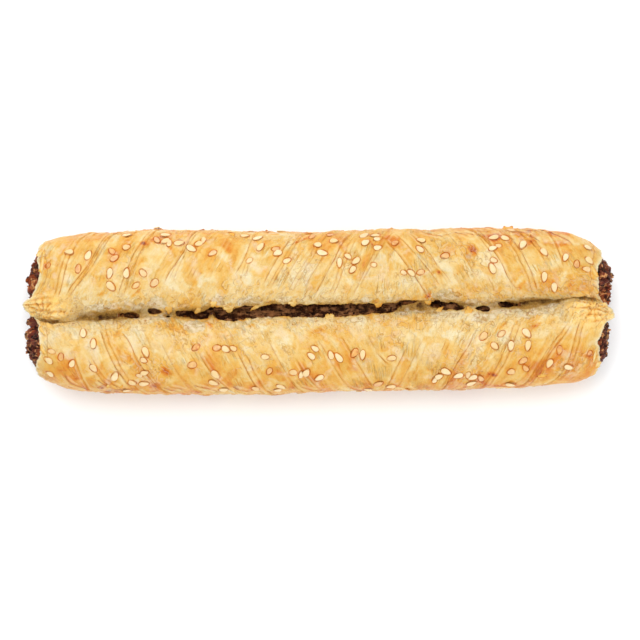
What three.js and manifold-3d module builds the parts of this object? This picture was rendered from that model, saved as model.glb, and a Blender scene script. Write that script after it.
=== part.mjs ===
// Puff pastry roll with a dark minced filling, in millimetres, +Z up.
// A thin flaky crust is wrapped round a long filling in two lobes side by side. A valley runs along the
// top between the lobes, and the crust has cracked open along it, so that the filling shows. Both ends are
// cut square: the filling bulges out of them, and a pinched tongue of crust reaches out between the lobes.
// The origin is at the middle of the flat base, +X along the roll.
import * as THREE from "three";
import { mergeVertices } from "three/addons/utils/BufferGeometryUtils.js";
import Module from "manifold-3d";

// Sizes of the whole roll
const CRUST_HALF = 94.8; // half the crust's length, where the lobes are cut
const FILLING_HALF = 100; // half the whole length, at the filling's furthest bump
const WIDTH_HALF = 27.4; // half the width over both lobes
const HEIGHT = 25.8; // height of the lobes above the base
const LOBE_SHARE = 0.53; // a lobe's half width as a share of its side, over half so that the lobes run together
const LOBE_POWER = 2.15; // how square a lobe is: 2 is an ellipse
const MIDDLE = 0.45; // height of a lobe's widest line, as a share of the height
const CORE_TOP = 0.6; // top of the solid core under the valley, as a share of the height
const CORE_INSET = 0.9; // how far the core stays inside the lobes' outer sides
const BLEND = 9; // sharpness of the joins between the lobes and the core
const VALLEY_DRIFT = 2.3; // how far the valley wanders sideways from one end to the other, each way

// Crust
const WALL = 1.8; // thickness of the baked layers
const GAP = 0.3; // air between crust and filling
const SHOULDER_START = 83; // where the ends begin to round off
const SHOULDER_DROP = [0.17, 0.12]; // how much width and height are lost there
const WAIST = 0.035; // slow loss of width towards the ends
const TONGUE_OUT = 4.6; // how far the pinched tongue reaches past the cut
const TONGUE_WIDE = 3.6; // half its width
const FOLD_PITCH = 9.5; // spacing of the slanting folds along the roll
const FOLD_SLANT = 0.53; // their run along the roll for each millimetre outwards from the valley
const FOLD_HEIGHT = 0.55; // how far a fold stands out

// Crack along the valley
const CRACK_HALF = 70; // half its length
const CRACK_WIDE = 1.7; // half its greatest width
const CRACK_STEPS = 44;

// Filling
const BUMP = 1.2; // roughness of its ends

// Rings and stations of the lofts
const CRUST_STATIONS = 58;
const CRUST_TOP_POINTS = 43;
const INNER_STATIONS = 20;
const INNER_TOP_POINTS = 24;
const BASE_POINTS = 4;

const clamp = (v, lo, hi) => Math.min(hi, Math.max(lo, v));

// The valley's sideways place at x
const valley = (x) => VALLEY_DRIFT * Math.sin((clamp(x, -92, 92) / 92) * (Math.PI / 2));

// Half width and height at x, rounded off at the ends
function girth(x) {
  const far = Math.min(Math.abs(x), CRUST_HALF);
  const waist = clamp((far - 50) / 35, 0, 1);
  const t = clamp((far - SHOULDER_START) / (CRUST_HALF - SHOULDER_START), 0, 1) ** 1.8;
  return {
    half: WIDTH_HALF * (1 - WAIST * waist * waist - SHOULDER_DROP[0] * t),
    high: HEIGHT * (1 - SHOULDER_DROP[1] * t),
  };
}

// Under 0 inside the section at x, inset by d from the crust's surface
function section(x, d) {
  const { half, high } = girth(x);
  const g = valley(x);
  const middle = MIDDLE * high;
  const b = high - middle - d;
  const right = LOBE_SHARE * (half - g);
  const left = LOBE_SHARE * (half + g);
  const coreHalf = (CORE_TOP * high + 0.5) / 2;
  return (y, z) => {
    const up = Math.abs((z - middle) / b) ** LOBE_POWER;
    const f1 = Math.abs((y - (half - right)) / (right - d)) ** LOBE_POWER + up - 1;
    const f2 = Math.abs((y + (half - left)) / (left - d)) ** LOBE_POWER + up - 1;
    const f3 =
      Math.abs(y / (half - CORE_INSET - d)) ** 4 + Math.abs((z - coreHalf + 0.5) / (coreHalf - d)) ** 3 - 1;
    return -Math.log(Math.exp(-BLEND * f1) + Math.exp(-BLEND * f2) + Math.exp(-BLEND * f3)) / BLEND;
  };
}

// Slanting folds of the wrapped layers, as a height over the smooth crust. out is the distance from the valley.
function folds(x, y, out) {
  const side = x < 0 ? 1 : -1;
  const along = (side * x + 100 - FOLD_SLANT * out) / FOLD_PITCH + (side * y > 0 ? 0.37 : 0);
  const wander = 0.22 * Math.sin(0.9 * out * 0.3 + 1.7 * Math.floor(along));
  const phase = along + wander - Math.floor(along + wander);
  const step = phase < 0.82 ? phase / 0.82 : (1 - phase) / 0.18;
  return FOLD_HEIGHT * (step - 0.5) * clamp(out / 9, 0, 1);
}

// One ring of the section at x: its top arc from the right foot over to the left foot, then points along the base
function ring(x, d, topPoints, basePoints, relief, place = (y, z) => x) {
  const f = section(x, d);
  const g = valley(x);
  const base = d;
  const from = [g, MIDDLE * HEIGHT];
  const dense = [];
  const rays = 240;
  for (let i = 0; i <= rays; i++) {
    const a = -1.2 + ((Math.PI + 2.4) * i) / rays; // from below the right side, over the top, to below the left
    const dir = [Math.cos(a), Math.sin(a)];
    let lo = 0,
      hi = 45;
    for (let k = 0; k < 40; k++) {
      const r = (lo + hi) / 2;
      if (f(from[0] + dir[0] * r, from[1] + dir[1] * r) < 0) lo = r;
      else hi = r;
    }
    const p = [from[0] + dir[0] * lo, from[1] + dir[1] * lo];
    dense.push(p);
  }
  const arc = dense.filter((p) => p[1] > base + 0.02);
  const foot = (p) => [p[0], base];
  const line = [foot(arc[0]), ...arc, foot(arc[arc.length - 1])];
  const run = [0];
  for (let i = 1; i < line.length; i++)
    run.push(run[i - 1] + Math.hypot(line[i][0] - line[i - 1][0], line[i][1] - line[i - 1][1]));
  const total = run[run.length - 1];
  // the run at the valley's lowest point, from which the folds are measured
  let mid = 0;
  for (let i = 1; i < line.length; i++)
    if (line[i][1] > middleOf(x) && Math.abs(line[i][0] - g) < Math.abs(line[mid][0] - g)) mid = i;
  const points = [];
  for (let k = 0; k < topPoints; k++) {
    const want = (total * k) / (topPoints - 1);
    let i = 1;
    while (i < line.length - 1 && run[i] < want) i++;
    const t = (want - run[i - 1]) / Math.max(run[i] - run[i - 1], 1e-9);
    let y = line[i - 1][0] + t * (line[i][0] - line[i - 1][0]);
    let z = line[i - 1][1] + t * (line[i][1] - line[i - 1][1]);
    if (relief && k > 0 && k < topPoints - 1) {
      const ty = line[i][0] - line[i - 1][0],
        tz = line[i][1] - line[i - 1][1],
        n = Math.hypot(ty, tz) || 1;
      const h = folds(x, y, Math.abs(want - run[mid])) * clamp((z - base) / 6, 0, 1);
      y += (tz / n) * h;
      z += (-ty / n) * h;
    }
    points.push([place(y, z), y, Math.max(z, base)]);
  }
  const a = points[topPoints - 1],
    b = points[0];
  for (let k = 1; k <= basePoints; k++) {
    const t = k / (basePoints + 1);
    const y = a[1] + t * (b[1] - a[1]);
    points.push([place(y, base), y, base]);
  }
  return points;
}
const middleOf = (x) => MIDDLE * girth(x).high;

// A closed solid through rings of equal counts, each end closed by a fan
function loft(rings) {
  const n = rings[0].length;
  const position = [];
  const index = [];
  rings.forEach((r) => r.forEach((p) => position.push(...p)));
  for (let s = 0; s + 1 < rings.length; s++)
    for (let k = 0; k < n; k++) {
      const a = s * n + k,
        b = s * n + ((k + 1) % n),
        c = a + n,
        d = b + n;
      index.push(a, b, d, a, d, c);
    }
  const cap = (r, first, flip) => {
    const centre = [0, 1, 2].map((i) => r.reduce((sum, p) => sum + p[i], 0) / n);
    const at = position.length / 3;
    position.push(...centre);
    for (let k = 0; k < n; k++) {
      const a = first + k,
        b = first + ((k + 1) % n);
      if (flip) index.push(at, a, b);
      else index.push(at, b, a);
    }
  };
  cap(rings[0], 0, false);
  cap(rings[rings.length - 1], (rings.length - 1) * n, true);
  const g = new THREE.BufferGeometry();
  g.setAttribute("position", new THREE.Float32BufferAttribute(position, 3));
  g.setIndex(index);
  return g;
}

const wasm = await Module();
wasm.setup();

function solidOf(geometry) {
  const g = geometry.clone();
  g.deleteAttribute("normal");
  g.deleteAttribute("uv");
  const merged = mergeVertices(g, 1e-4);
  const triVerts = new Uint32Array(merged.index.array);
  const vertProperties = merged.attributes.position.array;
  let solid = new wasm.Manifold(new wasm.Mesh({ numProp: 3, vertProperties, triVerts }));
  if (solid.volume() < 0) {
    for (let i = 0; i < triVerts.length; i += 3) [triVerts[i + 1], triVerts[i + 2]] = [triVerts[i + 2], triVerts[i + 1]];
    solid = new wasm.Manifold(new wasm.Mesh({ numProp: 3, vertProperties, triVerts }));
  }
  return solid;
}

function geometryOf(solid) {
  const m = solid.getMesh();
  const position = new Float32Array(m.numVert * 3);
  for (let i = 0; i < m.numVert; i++) position.set(m.vertProperties.subarray(i * m.numProp, i * m.numProp + 3), i * 3);
  const g = new THREE.BufferGeometry();
  g.setAttribute("position", new THREE.BufferAttribute(position, 3));
  g.setIndex(new THREE.BufferAttribute(m.triVerts, 1));
  g.computeVertexNormals();
  return g;
}

// Stations along the roll, closer together over the rounded ends
function stations(count, half) {
  const xs = [];
  for (let i = 0; i < count; i++) {
    const t = (2 * i) / (count - 1) - 1;
    xs.push(half * (0.86 * t + 0.14 * t * (1.5 - 0.5 * t * t)));
  }
  return xs;
}

// Crust: outer loft, with the tongue drawn out at each end over the valley
const crustRings = stations(CRUST_STATIONS, CRUST_HALF).map((x) => {
  const g = valley(x);
  const end = clamp((Math.abs(x) - 78) / (CRUST_HALF - 78), 0, 1) ** 2;
  return ring(x, 0, CRUST_TOP_POINTS, BASE_POINTS, true, (y, z) => {
    const near = Math.exp(-(((y - g) / TONGUE_WIDE) ** 2));
    const high = clamp((z - 5) / 7, 0, 1);
    const ragged = 0.35 * Math.sin(0.8 * Math.sign(x) * y + 0.45 * z);
    return x + Math.sign(x) * end * (TONGUE_OUT * near * high + ragged);
  });
});
const crustOuter = solidOf(loft(crustRings));

// Channel for the filling, open at both ends
const innerStations = stations(INNER_STATIONS, 95);
const channelRings = [-FILLING_HALF - 6, ...innerStations, FILLING_HALF + 6].map((x) =>
  ring(clamp(x, -95, 95), WALL, INNER_TOP_POINTS, BASE_POINTS, false, () => x),
);
const channel = solidOf(loft(channelRings));

// Crack: a ragged slot down the valley, over the channel
const crackHalfWidth = (x) => {
  const t = Math.abs(x) / CRACK_HALF;
  const ragged = 0.62 + 0.25 * Math.cos(x * 0.21) + 0.13 * Math.cos(x * 0.53);
  return 0.25 + (CRACK_WIDE - 0.25) * ragged * Math.max(0, 1 - t ** 3);
};
const crackMiddle = (x) => valley(x) + 0.5 * Math.sin(x * 0.13);
const outline = new THREE.Shape();
for (let i = 0; i <= CRACK_STEPS; i++) {
  const x = -CRACK_HALF + (2 * CRACK_HALF * i) / CRACK_STEPS;
  const y = crackMiddle(x) - crackHalfWidth(x);
  if (i) outline.lineTo(x, y);
  else outline.moveTo(x, y);
}
for (let i = CRACK_STEPS; i >= 0; i--) {
  const x = -CRACK_HALF + (2 * CRACK_HALF * i) / CRACK_STEPS;
  outline.lineTo(x, crackMiddle(x) + crackHalfWidth(x));
}
outline.closePath();
const crackBlock = new THREE.ExtrudeGeometry(outline, { depth: HEIGHT, bevelEnabled: false });
crackBlock.translate(0, 0, CORE_TOP * HEIGHT - 5);
const crack = solidOf(crackBlock);

const crust = crustOuter.subtract(channel).subtract(crack);

// Filling: runs through the crust and bulges out of both ends in two lumpy lobes
const bumps = (x, y, z) => {
  const s = Math.sign(x);
  return (
    0.45 * Math.sin(0.9 * s * y + 1.1) * Math.cos(0.8 * z) +
    0.35 * Math.sin(1.7 * s * y - 0.6 * z) +
    0.2 * Math.cos(2.3 * z + 1.3 * s * y)
  );
};
const body = innerStations.map((x) => ring(x, WALL + GAP, INNER_TOP_POINTS, BASE_POINTS, false));
// The bulge stands out most in the middle of each lobe, and its rings shrink towards a point under the valley
const BULGE_OUT = 4.4;
const BULGE_SHARES = [0.975, 0.9, 0.76, 0.56, 0.34, 0.14];
const endRings = (side) => {
  const x = side * 95;
  const edge = side < 0 ? body[0] : body[body.length - 1];
  const inside = section(x, WALL + GAP);
  const cy = valley(x),
    cz = 0.4 * girth(x).high;
  return BULGE_SHARES.map((share) =>
    edge.map(([, y, z]) => {
      const yy = cy + (y - cy) * share,
        zz = cz + (z - cz) * share;
      const depth = 1 - Math.exp(3 * Math.min(0, inside(yy, zz)));
      return [side * Math.min(FILLING_HALF, 95.3 + depth * (BULGE_OUT + BUMP * bumps(x, yy, zz))), yy, zz];
    }),
  );
};
const filling = solidOf(loft([...endRings(-1).reverse(), ...body, ...endRings(1)]));

const part = new THREE.Group();
part.name = "pastry_roll";
const add = (name, solid, colour, roughness) => {
  const mesh = new THREE.Mesh(
    geometryOf(solid),
    new THREE.MeshStandardMaterial({ color: colour, roughness, metalness: 0 }),
  );
  mesh.name = name;
  part.add(mesh);
};
add("crust", crust, 0xe9bf78, 0.5);
add("filling", filling, 0x4a2a20, 0.6);

export default part;
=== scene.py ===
import math

import bpy
import numpy as np
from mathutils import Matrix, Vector
from mathutils.geometry import delaunay_2d_cdt


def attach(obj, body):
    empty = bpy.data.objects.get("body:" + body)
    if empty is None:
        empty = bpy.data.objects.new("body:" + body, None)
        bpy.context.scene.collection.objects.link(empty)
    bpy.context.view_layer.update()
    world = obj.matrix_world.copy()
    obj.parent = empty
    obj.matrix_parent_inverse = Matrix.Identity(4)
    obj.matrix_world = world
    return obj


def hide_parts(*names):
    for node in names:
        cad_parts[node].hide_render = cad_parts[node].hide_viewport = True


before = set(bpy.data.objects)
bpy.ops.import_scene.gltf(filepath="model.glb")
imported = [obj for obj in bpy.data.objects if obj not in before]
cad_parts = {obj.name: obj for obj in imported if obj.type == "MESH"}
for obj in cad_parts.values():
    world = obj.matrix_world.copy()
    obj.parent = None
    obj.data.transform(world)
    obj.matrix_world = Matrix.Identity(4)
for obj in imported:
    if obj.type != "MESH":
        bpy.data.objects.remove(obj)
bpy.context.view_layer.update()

MM = 0.001

# ---------------------------------------------------------------------------------------------------------
# Sizes of the roll, in millimetres. +X runs along it, +Y across the two lobes, +Z up. The sheet of dough is
# unrolled for all the work: x along the roll, t round it, 0 in the valley and positive towards +Y.
HEIGHT = 25.35
LOBE_SHARE, LOBE_POWER, MIDDLE, CORE_TOP, CORE_INSET, BLEND = 0.53, 2.15, 0.45, 0.6, 0.9, 9.0
WALL = 1.5

# The photograph's frame: 640 pixels over 217 mm at the lobes' widest line, seen straight down
PX, LEVEL, LENS, SENSOR = 0.339, 11.6, 135.0, 36.0
CAM_D = 640 * PX / SENSOR * LENS
CAM_U, CAM_V = (320 - 318.8) * PX, (310.2 - 320) * PX
TURN = math.radians(0.44)

rng = np.random.default_rng(20461)


def smoothstep(a, b, v):
    t = np.clip((np.asarray(v, float) - a) / (b - a), 0, 1)
    return t * t * (3 - 2 * t)


def bell(v, w):
    return np.exp(-((np.asarray(v, float) / w) ** 2))


# ---------------------------------------------------------------------------------------------------------
# Smooth noise, about -1 to 1, the same on each run
def _hash(i, j, k, seed):
    h = (
        i.astype(np.int64) * 374761393 + j.astype(np.int64) * 668265263 + k.astype(np.int64) * 1442695041 + seed * 1274126177
    ) & 0xFFFFFFFF
    h = ((h ^ (h >> 13)) * 1274126177) & 0xFFFFFFFF
    h = ((h ^ (h >> 16)) * 2246822519) & 0xFFFFFFFF
    return (h ^ (h >> 15)) & 0xFFFFFFFF


def noise3(p, seed=0):
    p = np.asarray(p, float)
    base = np.floor(p)
    f = p - base
    b = base.astype(np.int64)
    w = f * f * f * (f * (f * 6 - 15) + 10)
    total = np.zeros(len(p))
    for dx in (0, 1):
        for dy in (0, 1):
            for dz in (0, 1):
                h = _hash(b[:, 0] + dx, b[:, 1] + dy, b[:, 2] + dz, seed)
                a = h / 4294967296.0 * 2 * np.pi
                c = ((h * 40503) & 0xFFFF) / 32768.0 - 1
                r = np.sqrt(np.maximum(0, 1 - c * c))
                dot = (f[:, 0] - dx) * r * np.cos(a) + (f[:, 1] - dy) * r * np.sin(a) + (f[:, 2] - dz) * c
                wx = w[:, 0] if dx else 1 - w[:, 0]
                wy = w[:, 1] if dy else 1 - w[:, 1]
                wz = w[:, 2] if dz else 1 - w[:, 2]
                total += dot * wx * wy * wz
    return total * 1.6


def fractal(p, seed=0, octaves=3, gain=0.5):
    total, amp, norm = 0, 1.0, 0.0
    for o in range(octaves):
        total = total + amp * noise3(np.asarray(p) * 2.03**o + 17.3 * o, seed + o)
        norm += amp
        amp *= gain
    return total / norm


def noise1(v, seed=0):
    v = np.atleast_1d(np.asarray(v, float))
    return noise3(np.stack([v, np.full_like(v, 0.37), np.full_like(v, 0.71)], 1), seed)


def cells(p, size, seed=0, jitter=0.9):
    """Distances to the nearest and second nearest scattered point, and the nearest one's random number."""
    q = np.asarray(p, float) / size
    base = np.floor(q).astype(np.int64)
    d1 = np.full(len(q), 9.0)
    d2 = np.full(len(q), 9.0)
    who = np.zeros(len(q))
    for dx in (-1, 0, 1):
        for dy in (-1, 0, 1):
            for dz in (-1, 0, 1):
                c = base + [dx, dy, dz]
                h1 = _hash(c[:, 0], c[:, 1], c[:, 2], seed)
                h2 = _hash(c[:, 0], c[:, 1], c[:, 2], seed + 1)
                h3 = _hash(c[:, 0], c[:, 1], c[:, 2], seed + 2)
                o = 0.5 + jitter * (np.stack([h1, h2, h3], 1) / 4294967296.0 - 0.5)
                d = np.sqrt((((c + o) - q) ** 2).sum(1))
                near = d < d1
                d2 = np.where(near, d1, np.minimum(d2, d))
                who = np.where(near, ((h1 * 31 + h2) & 0xFFFF) / 65535.0, who)
                d1 = np.where(near, d, d1)
    return d1 * size, d2 * size, who


# ---------------------------------------------------------------------------------------------------------
# The roll's section. Half widths over each lobe, and the valley's line, at places along the roll.
HALF_X = [-96, -94.5, -92, -89, -87.5, -82.5, -77.4, -72, -62, -52, -42, -32, -22, -11, 0, 10, 20, 30, 40, 50, 60, 70, 80, 85.4, 89, 90.4, 92.4, 94.5, 96]
HALF_P = [21.2, 22.2, 24.2, 25.0, 25.3, 25.95, 26.5, 26.4, 27.1, 27.4, 27.0, 27.1, 26.3, 26.6, 26.35, 26.5, 26.9, 26.9, 26.6, 26.9, 27.1, 26.8, 25.8, 25.3, 23.9, 22.9, 21.9, 19.6, 18.6]
HALF_M = [20.4, 21.6, 23.2, 24.3, 25.3, 26.2, 26.7, 27.2, 27.4, 27.8, 27.9, 27.9, 27.7, 27.8, 27.5, 27.2, 27.3, 27.0, 27.2, 26.9, 26.3, 26.1, 25.5, 25.1, 24.3, 23.8, 23.2, 21.4, 20.4]
VALLEY_PX = [(24, 317), (38, 318), (50, 321), (62, 321.5), (72, 319.5), (82, 317.5), (100, 317.5), (118, 316), (131, 315.5), (150, 313), (176, 314), (195, 315), (210, 313.5), (225, 314.5), (245, 312.8), (265, 311.5), (300, 311), (340, 310.5), (372, 309.5), (395, 307)]
VALLEY_PX += [(637.2 - x, 620 - y) for x, y in VALLEY_PX[::-1] if x < 215]


def flat_from_photo(px, py, z=LEVEL):
    """The place on the roll at height z that the photograph shows at a pixel."""
    m = CAM_D / (CAM_D - (z - LEVEL))
    u, v = (px - 320) * PX / m + CAM_U, (320 - py) * PX / m + CAM_V
    return u * math.cos(TURN) + v * math.sin(TURN), -u * math.sin(TURN) + v * math.cos(TURN)


_valley = np.array([flat_from_photo(x, y, 19) for x, y in VALLEY_PX])
_fine = np.arange(-100, 100.01, 0.5)


def _softened(xs, ys, width):
    k = np.exp(-((np.arange(-24, 25) * 0.5 / width) ** 2))
    line = np.interp(_fine, xs, ys)
    return np.convolve(np.pad(line, 24, mode="edge"), k / k.sum(), mode="valid")


_gp = _softened(HALF_X, HALF_P, 1.6)
_gm = _softened(HALF_X, HALF_M, 1.6)
_gv = _softened(_valley[:, 0], _valley[:, 1], 3.0)
_high_p = HEIGHT * (1 + 0.012 * noise1(_fine / 17.0, 5) + 0.008 * noise1(_fine / 7.0, 6))
_high_m = HEIGHT * (1 + 0.012 * noise1(_fine / 17.0, 7) + 0.008 * noise1(_fine / 7.0, 8))
_drop = 1 - 0.13 * np.clip((np.abs(_fine) - 82) / 13, 0, 1) ** 1.8
_high_p, _high_m = np.minimum(_high_p, HEIGHT) * _drop, np.minimum(_high_m, HEIGHT) * _drop


def valley(x):
    return np.interp(x, _fine, _gv)


def field(x, y, z, d=0.0):
    hp, hm, g = np.interp(x, _fine, _gp), np.interp(x, _fine, _gm), valley(x)
    zp, zm = np.interp(x, _fine, _high_p), np.interp(x, _fine, _high_m)
    mid = MIDDLE * 0.5 * (zp + zm)
    rp, rm = LOBE_SHARE * (hp - g), LOBE_SHARE * (hm + g)
    f1 = np.abs((y - (hp - rp)) / (rp - d)) ** LOBE_POWER + np.abs((z - mid) / (zp - mid - d)) ** LOBE_POWER - 1
    f2 = np.abs((y + (hm - rm)) / (rm - d)) ** LOBE_POWER + np.abs((z - mid) / (zm - mid - d)) ** LOBE_POWER - 1
    core = (CORE_TOP * 0.5 * (zp + zm) + 0.5) / 2
    f3 = np.abs((y - (hp - hm) / 2) / ((hp + hm) / 2 - CORE_INSET - d)) ** 4 + np.abs((z - core + 0.5) / (core - d)) ** 3 - 1
    return -np.logaddexp(np.logaddexp(-BLEND * f1, -BLEND * f2), -BLEND * f3) / BLEND


# Table of the smooth sheet: stations along x, and even steps round each side from the valley to the base's middle
TX = np.arange(-96, 96.01, 0.8)
NT = 300


def build_table():
    n = 700
    turn = np.linspace(0, np.pi, n)
    x = TX[:, None]
    g = valley(x)
    mid = MIDDLE * 0.5 * (np.interp(x, _fine, _high_p) + np.interp(x, _fine, _high_m))
    sides = []
    totals = []
    for s in (1, -1):
        dy, dz = s * np.sin(turn)[None], np.cos(turn)[None]
        lo, hi = np.zeros((len(TX), n)), np.full((len(TX), n), 46.0)
        for _ in range(34):
            r = (lo + hi) / 2
            inside = field(x, g + dy * r, mid + dz * r) < 0
            lo, hi = np.where(inside, r, lo), np.where(inside, hi, r)
        floor = np.where(dz < -1e-6, mid / np.maximum(-dz, 1e-6), 99)
        r = np.minimum(lo, floor)
        y, z = g + dy * r, mid + dz * r
        out = np.zeros((len(TX), NT + 1, 2))
        span = np.zeros(len(TX))
        for i in range(len(TX)):
            step = np.hypot(np.diff(y[i]), np.diff(z[i]))
            run = np.concatenate([[0], np.cumsum(step)])
            span[i] = run[-1]
            want = np.linspace(0, run[-1], NT + 1)
            yy, zz = np.interp(want, run, y[i]), np.interp(want, run, z[i])
            # the corner between the side and the base is rounded
            k = np.exp(-((np.arange(-12, 13) * run[-1] / NT / 1.5) ** 2))
            k /= k.sum()
            ys = np.convolve(np.pad(yy, 12, mode="edge"), k, mode="valid")
            zs = np.convolve(np.pad(zz, 12, mode="edge"), k, mode="valid")
            foot = want[np.argmax((zz < 0.05) & (np.arange(NT + 1) > NT * 0.3))]
            w = bell(want - foot, 3.6)
            out[i, :, 0], out[i, :, 1] = yy * (1 - w) + ys * w, zz * (1 - w) + zs * w
        sides.append(out)
        totals.append(span)
    return sides, totals


_sides, _totals = build_table()
S0 = float(0.5 * (_totals[0].mean() + _totals[1].mean()))  # the sheet's half width, about
TT = np.linspace(-S0, S0, 2 * NT + 1)
_mid_base = 0.5 * (_sides[0][:, -1] + _sides[1][:, -1])
_sides[0][:, -1] = _sides[1][:, -1] = _mid_base
TABLE = np.zeros((len(TX), 2 * NT + 1, 3))
TABLE[:, :, 0] = TX[:, None]
TABLE[:, NT:, 1:] = _sides[0]
TABLE[:, : NT + 1, 1:] = _sides[1][:, ::-1]
_du = np.gradient(TABLE, TX, axis=0)
_pad = np.concatenate([TABLE[:, -4:-1], TABLE, TABLE[:, 1:4]], 1)
_dt = (_pad[:, 4:-2] - _pad[:, 2:-4]) / (2 * (TT[1] - TT[0]))
NORMAL = np.cross(_du, _dt)
NORMAL /= np.linalg.norm(NORMAL, axis=2, keepdims=True)
if NORMAL[len(TX) // 2, NT + 60, 2] < 0:
    NORMAL = -NORMAL
# a calmer normal keeps the valley's relief from crossing itself
for _ in range(3):
    _n = NORMAL.copy()
    _n[:, 1:-1] = 0.25 * NORMAL[:, :-2] + 0.5 * NORMAL[:, 1:-1] + 0.25 * NORMAL[:, 2:]
    NORMAL = _n / np.linalg.norm(_n, axis=2, keepdims=True)


def lookup(table, x, t):
    fx = np.clip((np.asarray(x, float) - TX[0]) / (TX[1] - TX[0]), 0, len(TX) - 1.001)
    ft = np.clip((np.asarray(t, float) - TT[0]) / (TT[1] - TT[0]), 0, len(TT) - 1.001)
    i, j = fx.astype(int), ft.astype(int)
    a, b = (fx - i)[:, None], (ft - j)[:, None]
    return (table[i, j] * (1 - a) + table[i + 1, j] * a) * (1 - b) + (table[i, j + 1] * (1 - a) + table[i + 1, j + 1] * a) * b


def sheet_point(x, t):
    """Smooth place and outward normal on the sheet. Past the table's end the sheet goes straight on."""
    x, t = np.atleast_1d(np.asarray(x, float)), np.atleast_1d(np.asarray(t, float))
    p = lookup(TABLE, x, t)
    p[:, 0] = x
    n = lookup(NORMAL, x, t)
    return p, n / np.linalg.norm(n, axis=1, keepdims=True)


def sheet_t(x, y):
    """The sheet's t under a place (x, y) on the roll seen from above."""
    i = int(round((min(max(x, -95.9), 95.9) - TX[0]) / (TX[1] - TX[0])))
    row = TABLE[i]
    top, bottom = NT + int(np.argmax(row[NT:, 1])), int(np.argmin(row[: NT + 1, 1]))
    return float(np.interp(y, row[bottom : top + 1, 1], TT[bottom : top + 1]))


def from_photo(px, py):
    """Pixel of the photograph to (x, t) on the sheet."""
    z = 20.0
    for _ in range(3):
        x, y = flat_from_photo(px, py, z)
        t = sheet_t(x, y)
        z = float(sheet_point([x], [t])[0][0, 2])
    return np.array([x, t])


def patch_on_sheet(px, py, ax, ay):
    """Centre and half sizes on the sheet of a patch given by pixels."""
    a, b = from_photo(px, py - ay), from_photo(px, py + ay)
    return 0.5 * (a[0] + b[0]), 0.5 * (a[1] + b[1]), ax * PX, max(0.5 * abs(a[1] - b[1]), 0.2)


# ---------------------------------------------------------------------------------------------------------
# Folds of the wrapped dough, measured on the photograph as paths in pixels. The right part of the roll has
# the same folds as the left, turned by half a turn.
class Fold:
    def __init__(self, pts, kind, amp, width=0.0, fade=(3.0, 3.0), reach=4.0, seed=0, rows=True, tint=1.0):
        pts = np.asarray(pts, float)
        step = np.hypot(*np.diff(pts, axis=0).T)
        run = np.concatenate([[0], np.cumsum(step)])
        n = max(4, int(run[-1] / 0.9))
        want = np.linspace(0, run[-1], n + 1)
        path = np.stack([np.interp(want, run, pts[:, k]) for k in (0, 1)], 1)
        for _ in range(6):
            path[1:-1] = 0.25 * path[:-2] + 0.5 * path[1:-1] + 0.25 * path[2:]
        self.path, self.kind, self.amp, self.width, self.fade, self.reach = path, kind, amp, width, fade, reach
        self.run = np.concatenate([[0], np.cumsum(np.hypot(*np.diff(path, axis=0).T))])
        self.seed, self.rows, self.tint = seed, rows, tint

    def turned(self):
        f = Fold(-self.path, self.kind, self.amp, self.width, self.fade, self.reach, self.seed, self.rows, self.tint)
        return f

    def strength(self, along):
        total = self.run[-1]
        fade = smoothstep(0, self.fade[0], along) * smoothstep(0, self.fade[1], total - along)
        return fade * (0.85 + 0.3 * noise1(along / 4.0, 300 + self.seed))

    def wide(self, along):
        return self.width * (0.9 + 0.28 * noise1(along / 7.0, 400 + self.seed) + 0.1 * noise1(along / 2.2, 401 + self.seed))

    def measure(self, x, t):
        """For points near the fold: their indices, signed distance and run along it."""
        lo, hi = self.path.min(0) - 9.0 - abs(self.width), self.path.max(0) + 9.0 + abs(self.width)
        near = np.where((x > lo[0]) & (x < hi[0]) & (t > lo[1]) & (t < hi[1]))[0]
        if len(near) == 0:
            return near, near, near
        p = np.stack([x[near], t[near]], 1)
        a, b = self.path[:-1], self.path[1:]
        ab = b - a
        best = np.full(len(p), 1e9)
        sign = np.zeros(len(p))
        along = np.zeros(len(p))
        for k in range(len(a)):
            ap = p - a[k]
            u = np.clip((ap @ ab[k]) / (ab[k] @ ab[k]), 0, 1)
            q = ap - u[:, None] * ab[k]
            d = q[:, 0] ** 2 + q[:, 1] ** 2
            hit = d < best
            best = np.where(hit, d, best)
            cross = ab[k][0] * ap[:, 1] - ab[k][1] * ap[:, 0]
            sign = np.where(hit, np.where(cross > 0, 1.0, -1.0), sign)
            along = np.where(hit, self.run[k] + u * math.sqrt(ab[k] @ ab[k]), along)
        return near, np.sqrt(best) * sign, along


def drawn(pixels, extend=0.0):
    """Path on the sheet from pixels, carried on round the side by extend millimetres."""
    p = np.array([from_photo(*q) for q in pixels])
    if extend:
        way = p[-1] - p[max(0, len(p) - 3)]
        side = np.sign(p[-1, 1])
        slope = np.clip(way[0] / max(abs(way[1]), 1e-3), -0.8, 0.8)
        more = [p[-1] + np.array([slope * s, side * s]) for s in np.linspace(extend / 4, extend, 4)]
        p = np.concatenate([p, more])
    return p


folds = []


def fold(pixels, kind, amp, width=0.0, extend=0.0, turn=None, **more):
    f = Fold(drawn(pixels, extend), kind, amp * (1.0 if kind == "edge" else 0.85), width, seed=len(folds), **more)
    folds.append(f)
    if turn is None:
        turn = max(q[0] for q in pixels) < 240
    if turn:
        folds.append(f.turned())


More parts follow.
